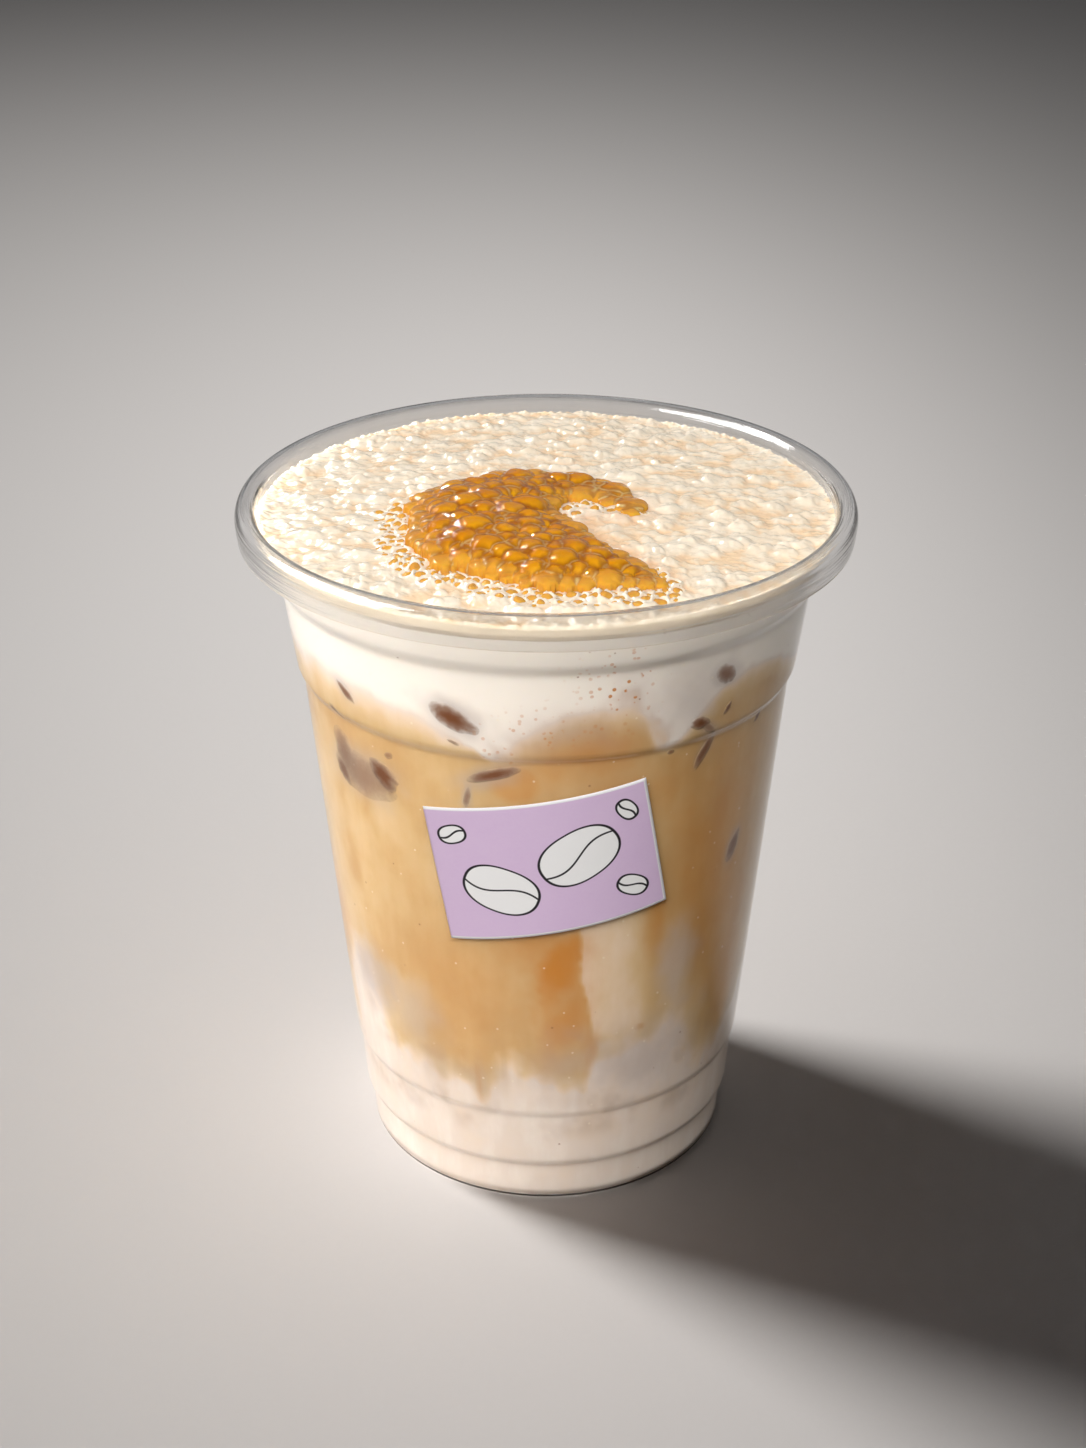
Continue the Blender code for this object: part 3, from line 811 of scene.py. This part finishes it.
def strayAllowed(x, y, radius):
    # strays lie just outside the crescent, most of them on its front and left edge, and in its notch
    depth = crescentDepth(x, y)[0]
    front = smoothStep(8, 20, -0.6 * x - 0.8 * y) + 0.6 * (np.hypot(x - 5.5, y + 3.0) < 5.5)
    scatter = latticeValue(np.floor(x * 3), np.floor(y * 3), 8)
    return (depth < 0.4) & (depth > -0.7 - 4.6 * (0.04 + front) * scatter**1.6)


everyRound = np.zeros((0, 3))
largeRounds, everyRound = scatterRounds(
    froth["bubbles"], lambda x, y, r: crescentDepth(x, y)[0] > 0.3 * r, froth["seed"], everyRound)
fillRounds, everyRound = scatterRounds(
    froth["fillers"], lambda x, y, r: crescentDepth(x, y)[0] > 0.2, froth["seed"] + 1, everyRound)
strayRounds, everyRound = scatterRounds(froth["strays"], strayAllowed, froth["seed"] + 2, everyRound)
print("froth planned,", len(everyRound), "bubbles,", len(strayRounds), "of them strays")


# Milk foam: a lumpy head of fine bubbles

foam = {
    "edge": 112.5,
    "dome": 1.6,
    "cells": 292,  # squares across the head
    "clumps": ((4.2, 0.52, 71), (2.3, 0.36, 72), (1.25, 0.14, 73), (0.66, 0.05, 74)),  # size, rise, seed
    "sideLevels": (112.0, 111.5, 111.0, 110.2),
}


def discGrid(cells):
    # an even square grid bent into a unit disc: rings of squares become rings of circles
    line = np.linspace(-1, 1, cells + 1)
    a, b = np.meshgrid(line, line)
    ring = np.maximum(np.abs(a), np.abs(b))
    wide = np.abs(a) >= np.abs(b)
    turn = np.where(wide, (b / np.where(wide, np.where(a == 0, 1, a), 1)) * math.pi / 4,
                    math.pi / 2 - (a / np.where(wide, 1, np.where(b == 0, 1, b))) * math.pi / 4)
    turn = np.where(wide & (a < 0), turn + math.pi, turn)
    turn = np.where(~wide & (b < 0), turn + math.pi, turn)
    return ring * np.cos(turn), ring * np.sin(turn)


def foamRelief(x, y):
    # soft clumps, bell-shaped round the centres of cells of four sizes on a bent lattice, over a low roll,
    # with wrinkles where a noise crosses its middle value
    bendX, bendY = bentPlace(x, y, ((layeredNoise, 0.35, 1.3), (softNoise, 1.1, 0.5)), 61)
    height = 0.8 * (layeredNoise(x * 0.11, y * 0.16, 65) - 0.5)
    hollow = np.zeros_like(x)
    for size, rise, seed in foam["clumps"]:
        first, number = cellNoise(bendX, bendY, size, seed)
        clump = np.exp(-((first / 0.42) ** 2)) * (0.2 + 1.2 * number)
        height = height + rise * (clump - 0.3)
        hollow = hollow + rise * (0.6 - clump)
    crossing = layeredNoise(bendX * 0.3, bendY * 1.1, 66)
    height = height + 0.06 * np.exp(-(((crossing - 0.5) / 0.09) ** 2))
    return height, hollow


def foamFields(x, y):
    # height of the surface, a low dome with its relief; where it is tinted tan, painted shade in its hollows
    # over tan patches of its own; and where it is tinted amber
    radius = np.hypot(x, y)
    rim = wallRadius(foam["edge"])
    relief, hollow = foamRelief(x, y)
    depth = crescentDepth(x, y)[0]
    calm = smoothStep(0.5, 3.0, rim - radius)
    ringed = np.exp(-((cellNoise(np.arctan2(y, x) * rim, radius, 1.3, 77)[0] / 0.4) ** 2))
    height = foam["edge"] + foam["dome"] * (1 - (radius / rim) ** 2) + relief * (0.35 + 0.65 * calm)
    height = height + 0.4 * ringed * smoothStep(2.4, 0.8, rim - radius)  # small bubbles along the wall
    patches = smoothStep(0.36, 0.72, layeredNoise(x * 0.22 + 9, y * 0.34 + 4, 81))
    # painted shade: tan in the hollows between clumps, laid over tan patches that are the foam's own tint
    tan = np.clip(smoothStep(0.15, 0.62, hollow) * (0.35 + 0.9 * patches) + 0.25 * patches, 0, 1)
    web = np.zeros_like(x)
    for px, py, pr in strayRounds:
        near = (np.abs(x - px) < 2.2 * pr) & (np.abs(y - py) < 2.2 * pr)
        d = np.hypot(x[near] - px, y[near] - py) / pr
        height[near] -= 0.45 * pr * (1 - smoothStep(0.6, 1.0, d))
        height[near] += 0.22 * pr * np.exp(-(((d - 1.12) / 0.22) ** 2))
        web[near] = np.maximum(web[near], np.exp(-(((d - 1.15) / 0.3) ** 2)))
    soak = 0.34 * (1 - smoothStep(0, 5, -depth)) * smoothStep(12, -16, y)
    soak = soak + 0.5 * np.exp(-((x - 5.5) ** 2 + (y + 4.0) ** 2) / 26) * (0.4 + patches)
    height = height - 0.8 * smoothStep(0.0, 1.5, depth)
    return height, tan * (1 - 0.8 * web), soak * (1 - web)


def makeFoam():
    # the lumpy head on a disc of squares, closed by rings down the wall and a flat underside
    rim = float(wallRadius(foam["edge"])) - cup["wall"] + drink["reach"]
    u, v = discGrid(foam["cells"])
    x, y = u * rim, v * rim
    height, tan, amber = foamFields(x, y)
    top = np.stack([x, y, height], axis=-1).reshape(-1, 3)
    side = foam["cells"] + 1
    quads = gridFaces(side, side, False)[:, ::-1]
    edge = gridEdge(np.arange(side * side).reshape(side, side))
    levels = foam["sideLevels"]
    angle = np.arctan2(top[edge, 1], top[edge, 0])
    rings = []
    for level in levels:
        radius = float(wallRadius(level)) - cup["wall"] + drink["reach"]
        rings.append(ringPoints(radius, angle, level))
    start = len(top)
    points = np.vstack([top, *rings, [[0, 0, levels[-1]]]])
    loops = [edge] + [start + k * len(edge) + np.arange(len(edge)) for k in range(len(levels))]
    faces = quads.tolist()
    for upper, lower in zip(loops, loops[1:]):
        faces += bandFaces(upper, lower)
    faces += fanFaces(len(points) - 1, loops[-1], inward=True)
    piece = meshFrom("foamHead", points, faces)
    spare = np.zeros(len(points) - len(top))
    addField(piece, "tan", np.concatenate([tan.ravel(), spare]))
    addField(piece, "amber", np.concatenate([amber.ravel(), spare]))
    return piece


def wetFoam():
    # milk white, tan as painted shade in its hollows and in its own tan patches, amber where froth soaks in,
    # with a fine wet grain
    material, build, shader = newMaterial("wetFoam", **{
        "IOR": 1.34, "Subsurface Weight": 0.5, "Subsurface Radius": (0.9, 0.9, 0.85),
        "Subsurface Scale": 0.001,
    })
    fine = build.cells(build.place(), 1900.0, "SMOOTH_F1")
    grain = build.noise(build.place(), 700.0, 4.0, 0.65)
    # tan in the hollows is painted shade; the patches are the foam's own tan
    colour = build.mix(build.field("tan"), srgb(255, 237, 217), srgb(255, 217, 178))
    colour = build.mix(build.times(grain, 0.25), colour, srgb(246, 226, 198))
    colour = build.mix(build.field("amber"), colour, srgb(222, 146, 52))
    build.put(shader.inputs["Base Color"], colour)
    build.put(shader.inputs["Roughness"], build.math("MULTIPLY_ADD", grain, 0.3, 0.10))
    normal = build.bump(fine, 0.2, 0.0002)
    build.put(shader.inputs["Normal"], build.bump(grain, 0.12, 0.0004, normal))
    return material


foamHead = makeFoam()
settle(foamHead, wetFoam(), "milk_foam", "foam")
print("foam raised,", len(foamHead.data.polygons), "faces")


farBelow = -9.0  # stands for no bubble at a place


def domeSurface(x, y, rounds, squash, sink, swollen):
    # height of many flattened caps, joined by the logarithm of the sum of their powers, so that valleys are
    # rounded; how far a place is from the crease between two; its cap's number; and how far it lies towards
    # its cap's front and right, where the caramel paints light, with painted shade towards the back
    best = np.full(np.shape(x), farBelow)
    second, tone, glow = best.copy(), np.zeros(np.shape(x)), np.zeros(np.shape(x))
    blend = np.full(np.shape(x), math.exp(farBelow * froth["weld"]))
    for px, py, pr in rounds:
        near = (np.abs(x - px) < pr) & (np.abs(y - py) < pr)
        d2 = (x[near] - px) ** 2 + (y[near] - py) ** 2
        depth, swell = crescentDepth(px, py) if swollen else (9.0, 0.0)
        flat = squash * (0.5 + 0.5 * smoothStep(0.0, 5.0, depth))  # flatter towards the crescent's edge
        dome = np.sqrt(np.maximum(pr * pr - d2, 0)) * flat + swell - sink * pr * flat
        cap = np.where(d2 < pr * pr, dome, farBelow)
        blend[near] += np.exp(froth["weld"] * cap)
        old = best[near]
        second[near] = np.maximum(np.minimum(old, cap), second[near])
        tone[near] = np.where(cap > old, latticeValue(px * 3.1, py * 2.3, 4), tone[near])
        lit = 0.5 + 0.6 * (0.9 * (py - y[near]) + 0.45 * (x[near] - px)) / pr
        glow[near] = np.where(cap > old, np.clip(lit, 0, 1), glow[near])
        best[near] = np.maximum(old, cap)
    return np.log(blend) / froth["weld"], np.clip(best - second, 0, 2), tone, glow


def heapSides(cell, upper, count):
    # quads that close the sides of the heap, along every edge between a kept and an empty square
    sides = []
    for a, b, down, right in ((0, 1, -1, 0), (1, 2, 0, 1), (2, 3, 1, 0), (3, 0, 0, -1)):
        padded = np.pad(cell, 1)
        beside = padded[1 + down:1 + down + cell.shape[0], 1 + right:1 + right + cell.shape[1]]
        edge = cell & ~beside
        first, second = upper[edge][:, a], upper[edge][:, b]
        sides.append(np.stack([second, first, first + count, second + count], axis=1))
    return sides


def makeFroth():
    # a square grid over the crescent: bubbles and strays above, a smooth bed in the foam below
    x, y = np.meshgrid(*(np.arange(*reach, froth["step"]) for reach in froth["grid"]))
    bed = foam["edge"] + foam["dome"] * (1 - (np.hypot(x, y) / wallRadius(foam["edge"])) ** 2)
    depth, swell = crescentDepth(x, y)
    bentX, bentY = bentPlace(x, y, ((softNoise, 0.55, 0.6), (softNoise, 1.7, 0.12)), 21)
    inside = np.vstack([largeRounds, fillRounds])
    domes, crease, tone, glow = domeSurface(bentX, bentY, inside, froth["squash"], froth["sink"], True)
    core = np.where(depth > 0.3, swell - 0.5, farBelow)
    lift = np.maximum(domes, core) + 0.16 * (layeredNoise(x * 0.9, y * 0.9, 25) - 0.5)
    lift = lift + 0.04 * (1 - smoothStep(0.0, 0.3, crease)) * smoothStep(0.2, 1.5, depth)
    strays = domeSurface(x, y, strayRounds, froth["straySquash"], froth["straySink"], False)
    outside = (strays[0] > -0.5) & (lift < -0.5)
    lift = np.where(outside, strays[0] + foamRelief(x, y)[0] - 0.12, lift)
    crease, tone, glow = (np.where(outside, *pair) for pair in zip(strays[1:], (crease, tone, glow)))
    shown = lift > -0.9
    top, under = bed + np.maximum(lift, -1.0), bed - froth["bed"]
    cell = shown[:-1, :-1] & shown[1:, :-1] & shown[:-1, 1:] & shown[1:, 1:]
    index = np.arange(x.size).reshape(x.shape)
    upper = np.stack([index[:-1, :-1], index[:-1, 1:], index[1:, 1:], index[1:, :-1]], axis=-1)
    lower = upper[..., ::-1] + x.size
    quads = np.vstack([upper[cell], lower[cell], *heapSides(cell, upper, x.size)])
    used, quads = np.unique(quads, return_inverse=True)
    points = np.vstack([np.stack([x, y, z], axis=-1).reshape(-1, 3) for z in (top, under)])[used]
    piece = meshFrom("caramelFroth", points, quads.reshape(-1, 4).tolist())
    # the caramel paints from these fields: painted highlights and painted shade along the creases, and
    # painted light on each cap's front and right
    fields = {
        "filmAndHighlight": 1 - smoothStep(0.03, 0.26, crease),
        "paintedCreaseShade": 1 - smoothStep(0.0, 1.1, crease),
        "margin": np.where(outside, 1.0, 0.6 - 0.6 * smoothStep(0.2, 3.2, depth)),
        "tone": tone,
        "glow": glow,
    }
    for name, values in fields.items():
        addField(piece, name, np.concatenate([values.ravel()] * 2)[used])
    return piece


def caramel():
    # amber domes, each of its own tone; painted shade darkens the creases between them, painted light
    # brightens each dome's front and right and deepens its back, a painted sheen lightens it where it turns
    # from view, and
    # pale lines lie along the creases: painted highlights along bubble edges, with pale film towards the
    # margin
    material, build, shader = newMaterial("caramelBubbles", **{
        "IOR": 1.36, "Metallic": 0.0, "Roughness": 0.04, "Transmission Weight": 0.15,
        "Specular Tint": (1.0, 0.82, 0.42, 1.0), "Specular IOR Level": 0.34,
        "Subsurface Weight": 0.25, "Subsurface Radius": (1.0, 0.55, 0.14), "Subsurface Scale": 0.0012,
    })
    cloud = build.noise(build.place(), 230.0, 3.0)
    deep = build.mix(build.field("tone"), srgb(212, 124, 0), srgb(240, 160, 2))
    colour = build.mix(build.times(cloud, 0.5), deep, srgb(240, 154, 2))
    glow = build.field("glow")
    # painted light: golden towards each dome's front and right; painted shade: deeper amber towards its back
    colour = build.mix(build.times(build.step(0.5, 1.0, glow), 0.75), colour, srgb(246, 178, 26))
    colour = build.mix(build.times(build.step(0.5, 0.0, glow), 0.5), colour, srgb(188, 96, 0))
    # painted shade: darker brown in the creases between domes
    shade = build.times(build.math("POWER", build.field("paintedCreaseShade"), 1.4), 0.8)
    colour = build.mix(shade, colour, srgb(148, 68, 0))
    # painted sheen: lighter where the surface turns away from view
    paintedSheen = build.add("ShaderNodeLayerWeight")
    paintedSheen.inputs["Blend"].default_value = 0.30
    colour = build.mix(build.times(paintedSheen.outputs["Facing"], 0.12), colour, srgb(250, 180, 60))
    margin = build.field("margin")
    colour = build.mix(build.times(margin, 0.5), colour, srgb(242, 190, 104))
    # pale lines on the creases: painted highlights along bubble edges, and pale film, stronger towards the
    # margin
    broken = build.step(0.35, 0.62, build.noise(build.place(), 420.0, 2.0))
    strength = build.math("MULTIPLY_ADD", margin, 0.6, 0.4)
    line = build.times(build.times(build.field("filmAndHighlight"), broken), strength, clamp=True)
    colour = build.mix(line, colour, srgb(255, 226, 150))
    build.put(shader.inputs["Base Color"], colour)
    grain = build.noise(build.place(), 560.0, 2.0)
    build.put(shader.inputs["Normal"], build.bump(grain, 0.5, 0.0008))
    return material


frothHeap = makeFroth()
settle(frothHeap, caramel(), "caramel_froth", "froth")
print("froth heaped,", len(frothHeap.data.polygons), "faces")


# Sticker

sticker = {
    "size": (35.4, 24.3),
    "height": 68.6,
    "tilt": 10.2,
    "lift": 0.06,  # clear of the wall
    "thickness": 0.12,
    "steps": (90, 60),
    "border": 0.5,
    "blur": 0.06,  # softness of printed edges
    "line": 0.34,  # width of the beans' outlines
}
# beans printed on it: centre x, centre y, turn (degrees), half length, half width
stickerBeans = [
    (-7.6, -3.0, 28, 6.0, 4.1),
    (5.4, 1.4, -24, 6.6, 4.5),
    (12.6, -6.6, 35, 2.6, 1.8),
    (-13.6, 7.4, -12, 2.3, 1.6),
    (13.9, 7.6, 60, 2.0, 1.4),
]


def makeSticker():
    # a flat grid, tilted and laid round the wall by the angle along / radius, its front rounded at the edges
    wide, tall = sticker["size"]
    columns, rows = sticker["steps"]
    u, v = np.meshgrid(np.linspace(-0.5, 0.5, columns + 1), np.linspace(-0.5, 0.5, rows + 1))
    tilt = math.radians(sticker["tilt"])
    across, up = u * wide, v * tall
    along = across * math.cos(tilt) - up * math.sin(tilt)
    z = sticker["height"] + across * math.sin(tilt) + up * math.cos(tilt)
    base = wallRadius(z)
    angle = along / base
    nearEdge = np.minimum(wide * (0.5 - np.abs(u)), tall * (0.5 - np.abs(v)))
    ripple = 0.03 * (layeredNoise(across * 0.2, up * 0.2, 91) - 0.5)
    sheets = []
    for thick in (0.0, sticker["thickness"]):
        swell = thick * smoothStep(-0.25, 0.35, nearEdge)
        sheets.append(bearingPoints(base + sticker["lift"] + swell + ripple * (thick > 0), angle, z))
    count = (rows + 1) * (columns + 1)
    index = np.arange(count).reshape(rows + 1, columns + 1)
    front = gridFaces(rows + 1, columns + 1, False)[:, ::-1] + count
    back = gridFaces(rows + 1, columns + 1, False)
    edge = gridEdge(index)
    walls = bandFaces(edge + count, edge)
    piece = meshFrom("printedSticker", np.vstack(sheets), np.vstack([front, back, walls]).tolist())
    layer = piece.data.uv_layers.new(name="print")
    flat = np.tile(np.stack([u, v], axis=-1).reshape(-1, 2) + 0.5, (2, 1))
    corner = np.zeros(len(piece.data.loops), dtype=np.int32)
    piece.data.loops.foreach_get("vertex_index", corner)
    layer.data.foreach_set("uv", flat[corner].astype(np.float32).ravel())
    return piece


beanInputs = ("Centre X", "Centre Y", "Turn", "Half Length", "Half Width", "Line")


def beanGroup():
    # a coffee bean drawn with lines: an ellipse, its outline, and a waved crease along its length
    group = bpy.data.node_groups.new("printedBean", "ShaderNodeTree")
    face = group.interface
    face.new_socket("Place", in_out="INPUT", socket_type="NodeSocketVector")
    for name in beanInputs:
        face.new_socket(name, in_out="INPUT", socket_type="NodeSocketFloat")
    for name in ("Fill", "Ink"):
        face.new_socket(name, in_out="OUTPUT", socket_type="NodeSocketFloat")
    build = Nodes(group)
    given = build.add("NodeGroupInput").outputs
    centre = build.add("ShaderNodeCombineXYZ")
    build.put(centre.inputs["X"], given["Centre X"])
    build.put(centre.inputs["Y"], given["Centre Y"])
    shift = build.add("ShaderNodeVectorMath", operation="SUBTRACT")
    build.put(shift.inputs[0], given["Place"])
    build.put(shift.inputs[1], centre.outputs[0])
    turn = build.add("ShaderNodeVectorRotate", rotation_type="Z_AXIS")
    build.put(turn.inputs["Vector"], shift.outputs[0])
    build.put(turn.inputs["Angle"], given["Turn"])
    x, y = build.parts(turn.outputs[0])
    across = build.math("DIVIDE", x, given["Half Length"])
    up = build.math("DIVIDE", y, given["Half Width"])
    squares = [build.math("POWER", build.math("ABSOLUTE", side), 2.3) for side in (across, up)]
    reach = build.math("SQRT", build.math("ADD", *squares))
    away = build.times(build.math("SUBTRACT", reach, 1.0), given["Half Width"])
    half = build.times(given["Line"], 0.5)
    lineEnds = (build.math("ADD", half, sticker["blur"]), build.math("SUBTRACT", half, sticker["blur"]))
    fill = build.step(sticker["blur"], -sticker["blur"], away)
    outline = build.step(*lineEnds, build.math("ABSOLUTE", away))
    wave = build.times(build.math("SINE", build.times(across, 2.7)), 0.26)
    crease = build.times(build.math("SUBTRACT", up, wave), given["Half Width"])
    seam = build.times(build.step(*lineEnds, build.math("ABSOLUTE", crease)), fill)
    result = build.add("NodeGroupOutput").inputs
    build.put(result["Fill"], fill)
    build.put(result["Ink"], build.math("MAXIMUM", outline, seam))
    return group


def lilacPaper():
    # mottled lilac stock with the beans printed on it and a white edge on three sides
    material, build, shader = newMaterial("lilacPaper", **{"Roughness": 0.5, "IOR": 1.45})
    wide, tall = sticker["size"]
    uv = build.add("ShaderNodeUVMap", uv_map="print").outputs["UV"]
    spread = build.add("ShaderNodeVectorMath", operation="MULTIPLY_ADD")
    build.put(spread.inputs[0], uv)
    spread.inputs[1].default_value = (wide, tall, 0)
    spread.inputs[2].default_value = (-wide / 2, -tall / 2, 0)
    where = spread.outputs[0]
    x, y = build.parts(where)
    fibre = build.noise(build.place((1, 1, 1.6)), 1500.0, 5.0, 0.7)
    blot = build.noise(build.place(), 170.0, 3.0)
    field = build.mix(blot, srgb(221, 189, 226), srgb(226, 198, 229))
    field = build.mix(build.times(fibre, 0.35), field, srgb(236, 218, 238))
    group = beanGroup()
    fill, ink = 0.0, 0.0
    for beanX, beanY, turn, halfLength, halfWidth in stickerBeans:
        bean = build.add("ShaderNodeGroup", node_tree=group)
        build.put(bean.inputs["Place"], where)
        values = (beanX, beanY, math.radians(turn), halfLength, halfWidth, sticker["line"])
        for name, value in zip(beanInputs, values):
            bean.inputs[name].default_value = value
        fill = build.math("MAXIMUM", fill, bean.outputs["Fill"])
        ink = build.math("MAXIMUM", ink, bean.outputs["Ink"])
    colour = build.mix(fill, field, srgb(250, 249, 248))
    colour = build.mix(ink, colour, srgb(26, 22, 28))
    blur, farX, farY = sticker["blur"], wide / 2 - sticker["border"], tall / 2 - sticker["border"]
    right = build.step(farX - blur, farX + blur, x)
    top = build.step(farY - blur, farY + blur, y)
    low = build.step(blur - farY, -blur - farY, y)
    edge = build.math("MAXIMUM", build.math("MAXIMUM", right, top), low)
    colour = build.mix(edge, colour, srgb(244, 242, 244))
    build.put(shader.inputs["Base Color"], colour)
    build.put(shader.inputs["Normal"], build.bump(fibre, 0.25, 0.0001))
    return material


label = makeSticker()
settle(label, lilacPaper(), "lilac_paper", "sticker")
print("sticker laid on,", len(label.data.polygons), "faces")


# Studio: floor, lights and camera

studio = {
    "floorRadius": 2.4,
    "floorSpokes": 96,
    "floorLevel": -0.02,  # mm, so that the foot doesn't lie in the floor
    "floor": (0.81, 0.785, 0.78, 1),
    "paintedPool": (0.215, 0.56, 0.035, 0.145),  # half width, half depth and middle of the pool of light painted on the floor, in metres
    "world": (0.03, 0.36),  # strength of the light it sheds, and of what shows in the plastic
    "key": {"at": (-0.98, 0.54, 0.86), "size": 0.44, "power": 24.0},  # from behind on the left
    "keyShares": (1.0, 0.27, 0.148),  # of the key's power: on the floor, on cup and foam, on drink and label
    "fill": {"at": (-0.47, -0.50, 0.54), "size": 0.55, "power": 1.6},  # this and the next two miss the floor
    "front": {"at": (-0.06, -0.52, 0.64), "size": 0.6, "power": 5.0},
    "back": {"at": (0.62, 0.60, 0.35), "size": 0.6, "power": 1.5},
    "glint": {"at": (-0.34, 0.60, 0.62), "size": 0.055, "power": 4.0},  # points of light on froth and foam
    "edge": {"at": (-0.72, 0.0, 0.60), "size": 0.9, "power": 30.0},  # the long gleam on the lip
    "aim": (0.0, 0.0, 0.05),
}
view = {
    "distance": 0.380,
    "elevation": 0.46963,  # radians above the level
    "aimHeight": 0.07419,
    "focalPixels": 2291.83,
    "imageHeight": 1448,
    "axisOffset": 3.3,  # pixels from the middle of the picture to the cup's axis
}


def makeFloor():
    # rings of a flat disc, close together near the cup, with a pool of light painted on it: pale near the
    # cup and darker to black away from it, by 1 / (1 + 0.9 d^2)
    rings = np.concatenate([[0], np.geomspace(0.02, studio["floorRadius"], 24)]) / mm
    spokes, level = studio["floorSpokes"], studio["floorLevel"]
    grid = ringPoints(rings[1:, None], np.arange(spokes) / spokes * tau, level)
    points = np.vstack([grid, [[0, 0, level]]])
    faces = gridFaces(len(rings) - 1, spokes, True).tolist() + fanFaces(len(grid), np.arange(spokes))
    floor = meshFrom("floor", points, faces)
    material, build, shader = newMaterial("paleFloor", **{"Roughness": 0.75, "Specular IOR Level": 0.2})
    wide, deep, aside, behind = studio["paintedPool"]
    x, y = build.parts(build.place())
    across = build.math("DIVIDE", build.math("SUBTRACT", x, aside), wide)
    along = build.math("DIVIDE", build.math("SUBTRACT", y, behind), deep)
    away = build.math("ADD", build.times(across, across), build.times(along, along))
    # painted pool of light: the floor's colour falls to black away from the cup
    paintedPool = build.math("DIVIDE", 1.0, build.math("ADD", build.times(away, 0.9), 1.0))
    grain = build.noise(build.place(), 900.0, 3.0)
    pale = build.mix(build.times(grain, 0.08), studio["floor"], (1, 1, 1, 1))
    build.put(shader.inputs["Base Color"], build.mix(paintedPool, (0, 0, 0, 1), pale))
    floor.data.materials.append(material)
    return floor


def aimed(obj, at, target):
    # stands an object at a place and turns its -Z to a target
    direction = np.array(target) - np.array(at)
    obj.location = at
    flat = math.hypot(direction[0], direction[1])
    tilt, heading = math.atan2(direction[2], flat), math.atan2(-direction[0], direction[1])
    obj.rotation_euler = (math.pi / 2 + tilt, 0, heading)


def softLight(name, at, size, power, colour=(1, 1, 1), height=None):
    # a round lamp, or one of a given height, aimed at the cup
    lamp = bpy.data.lights.new(name, "AREA")
    lamp.shape = "RECTANGLE" if height else "DISK"
    lamp.size = size
    if height:
        lamp.size_y = height
    lamp.energy = power
    lamp.color = colour
    holder = bpy.data.objects.new(name, lamp)
    bpy.context.scene.collection.objects.link(holder)
    aimed(holder, at, studio["aim"])
    return holder


def makeCamera():
    # on the -Y side, looking down at the cup
    lens = bpy.data.cameras.new("camera")
    lens.sensor_width = 36.0
    lens.lens = 36.0 * view["focalPixels"] / view["imageHeight"]
    lens.shift_x = -view["axisOffset"] / view["imageHeight"]
    lens.clip_start, lens.clip_end = 0.01, 50.0
    camera = bpy.data.objects.new("camera", lens)
    bpy.context.scene.collection.objects.link(camera)
    tilt, distance = view["elevation"], view["distance"]
    camera.location = (0, -distance * math.cos(tilt), view["aimHeight"] + distance * math.sin(tilt))
    camera.rotation_euler = (math.pi / 2 - tilt, 0, 0)
    bpy.context.scene.camera = camera


def makeWorld():
    # sheds little light, and looks brighter where clear plastic shows it
    world = bpy.data.worlds.new("studioAir")
    world.use_nodes = True
    back = world.node_tree.nodes["Background"]
    back.inputs["Color"].default_value = (0.98, 0.985, 1.0, 1)
    build = Nodes(world.node_tree)
    bounced = build.math("GREATER_THAN", build.add("ShaderNodeLightPath").outputs["Diffuse Depth"], 0.5)
    shed, shown = studio["world"]
    build.put(back.inputs["Strength"], build.math("MULTIPLY_ADD", bounced, shed - shown, shown))
    world.cycles.sampling_method = "NONE"
    bpy.context.scene.world = world


def lightOnly(lamp, pieces):
    # the lamp lights these pieces and nothing else
    group = bpy.data.collections.new(lamp.name + "Receivers")
    for piece in pieces:
        group.objects.link(piece)
    lamp.light_linking.receiver_collection = group


floor = makeFloor()
makeWorld()
dressed = (tumbler, drinkBody, iceBlocks, foamHead, frothHeap, label)
warm, plain = (1.0, 0.98, 0.95), (1.0, 0.99, 0.98)
receivers = ([floor], [tumbler, foamHead, frothHeap], [drinkBody, iceBlocks, label])
for group, share in zip(receivers, studio["keyShares"]):
    key = softLight("key", colour=warm, **studio["key"])
    key.data.energy *= share
    key.visible_transmission = False
    lightOnly(key, group)
for lampName in ("fill", "front", "back"):
    lamp = softLight(lampName, colour=plain, **studio[lampName])
    lamp.visible_glossy = False
    lamp.visible_transmission = False
    lightOnly(lamp, dressed)
glint = softLight("glint", **studio["glint"])
glint.visible_diffuse = False
lightOnly(glint, [frothHeap, foamHead])
gleam = softLight("edge", height=0.5, **studio["edge"])
gleam.visible_diffuse = False
gleam.visible_transmission = False
lightOnly(gleam, [tumbler])
makeCamera()
bpy.context.scene.view_settings.view_transform = "Standard"
print("studio ready")
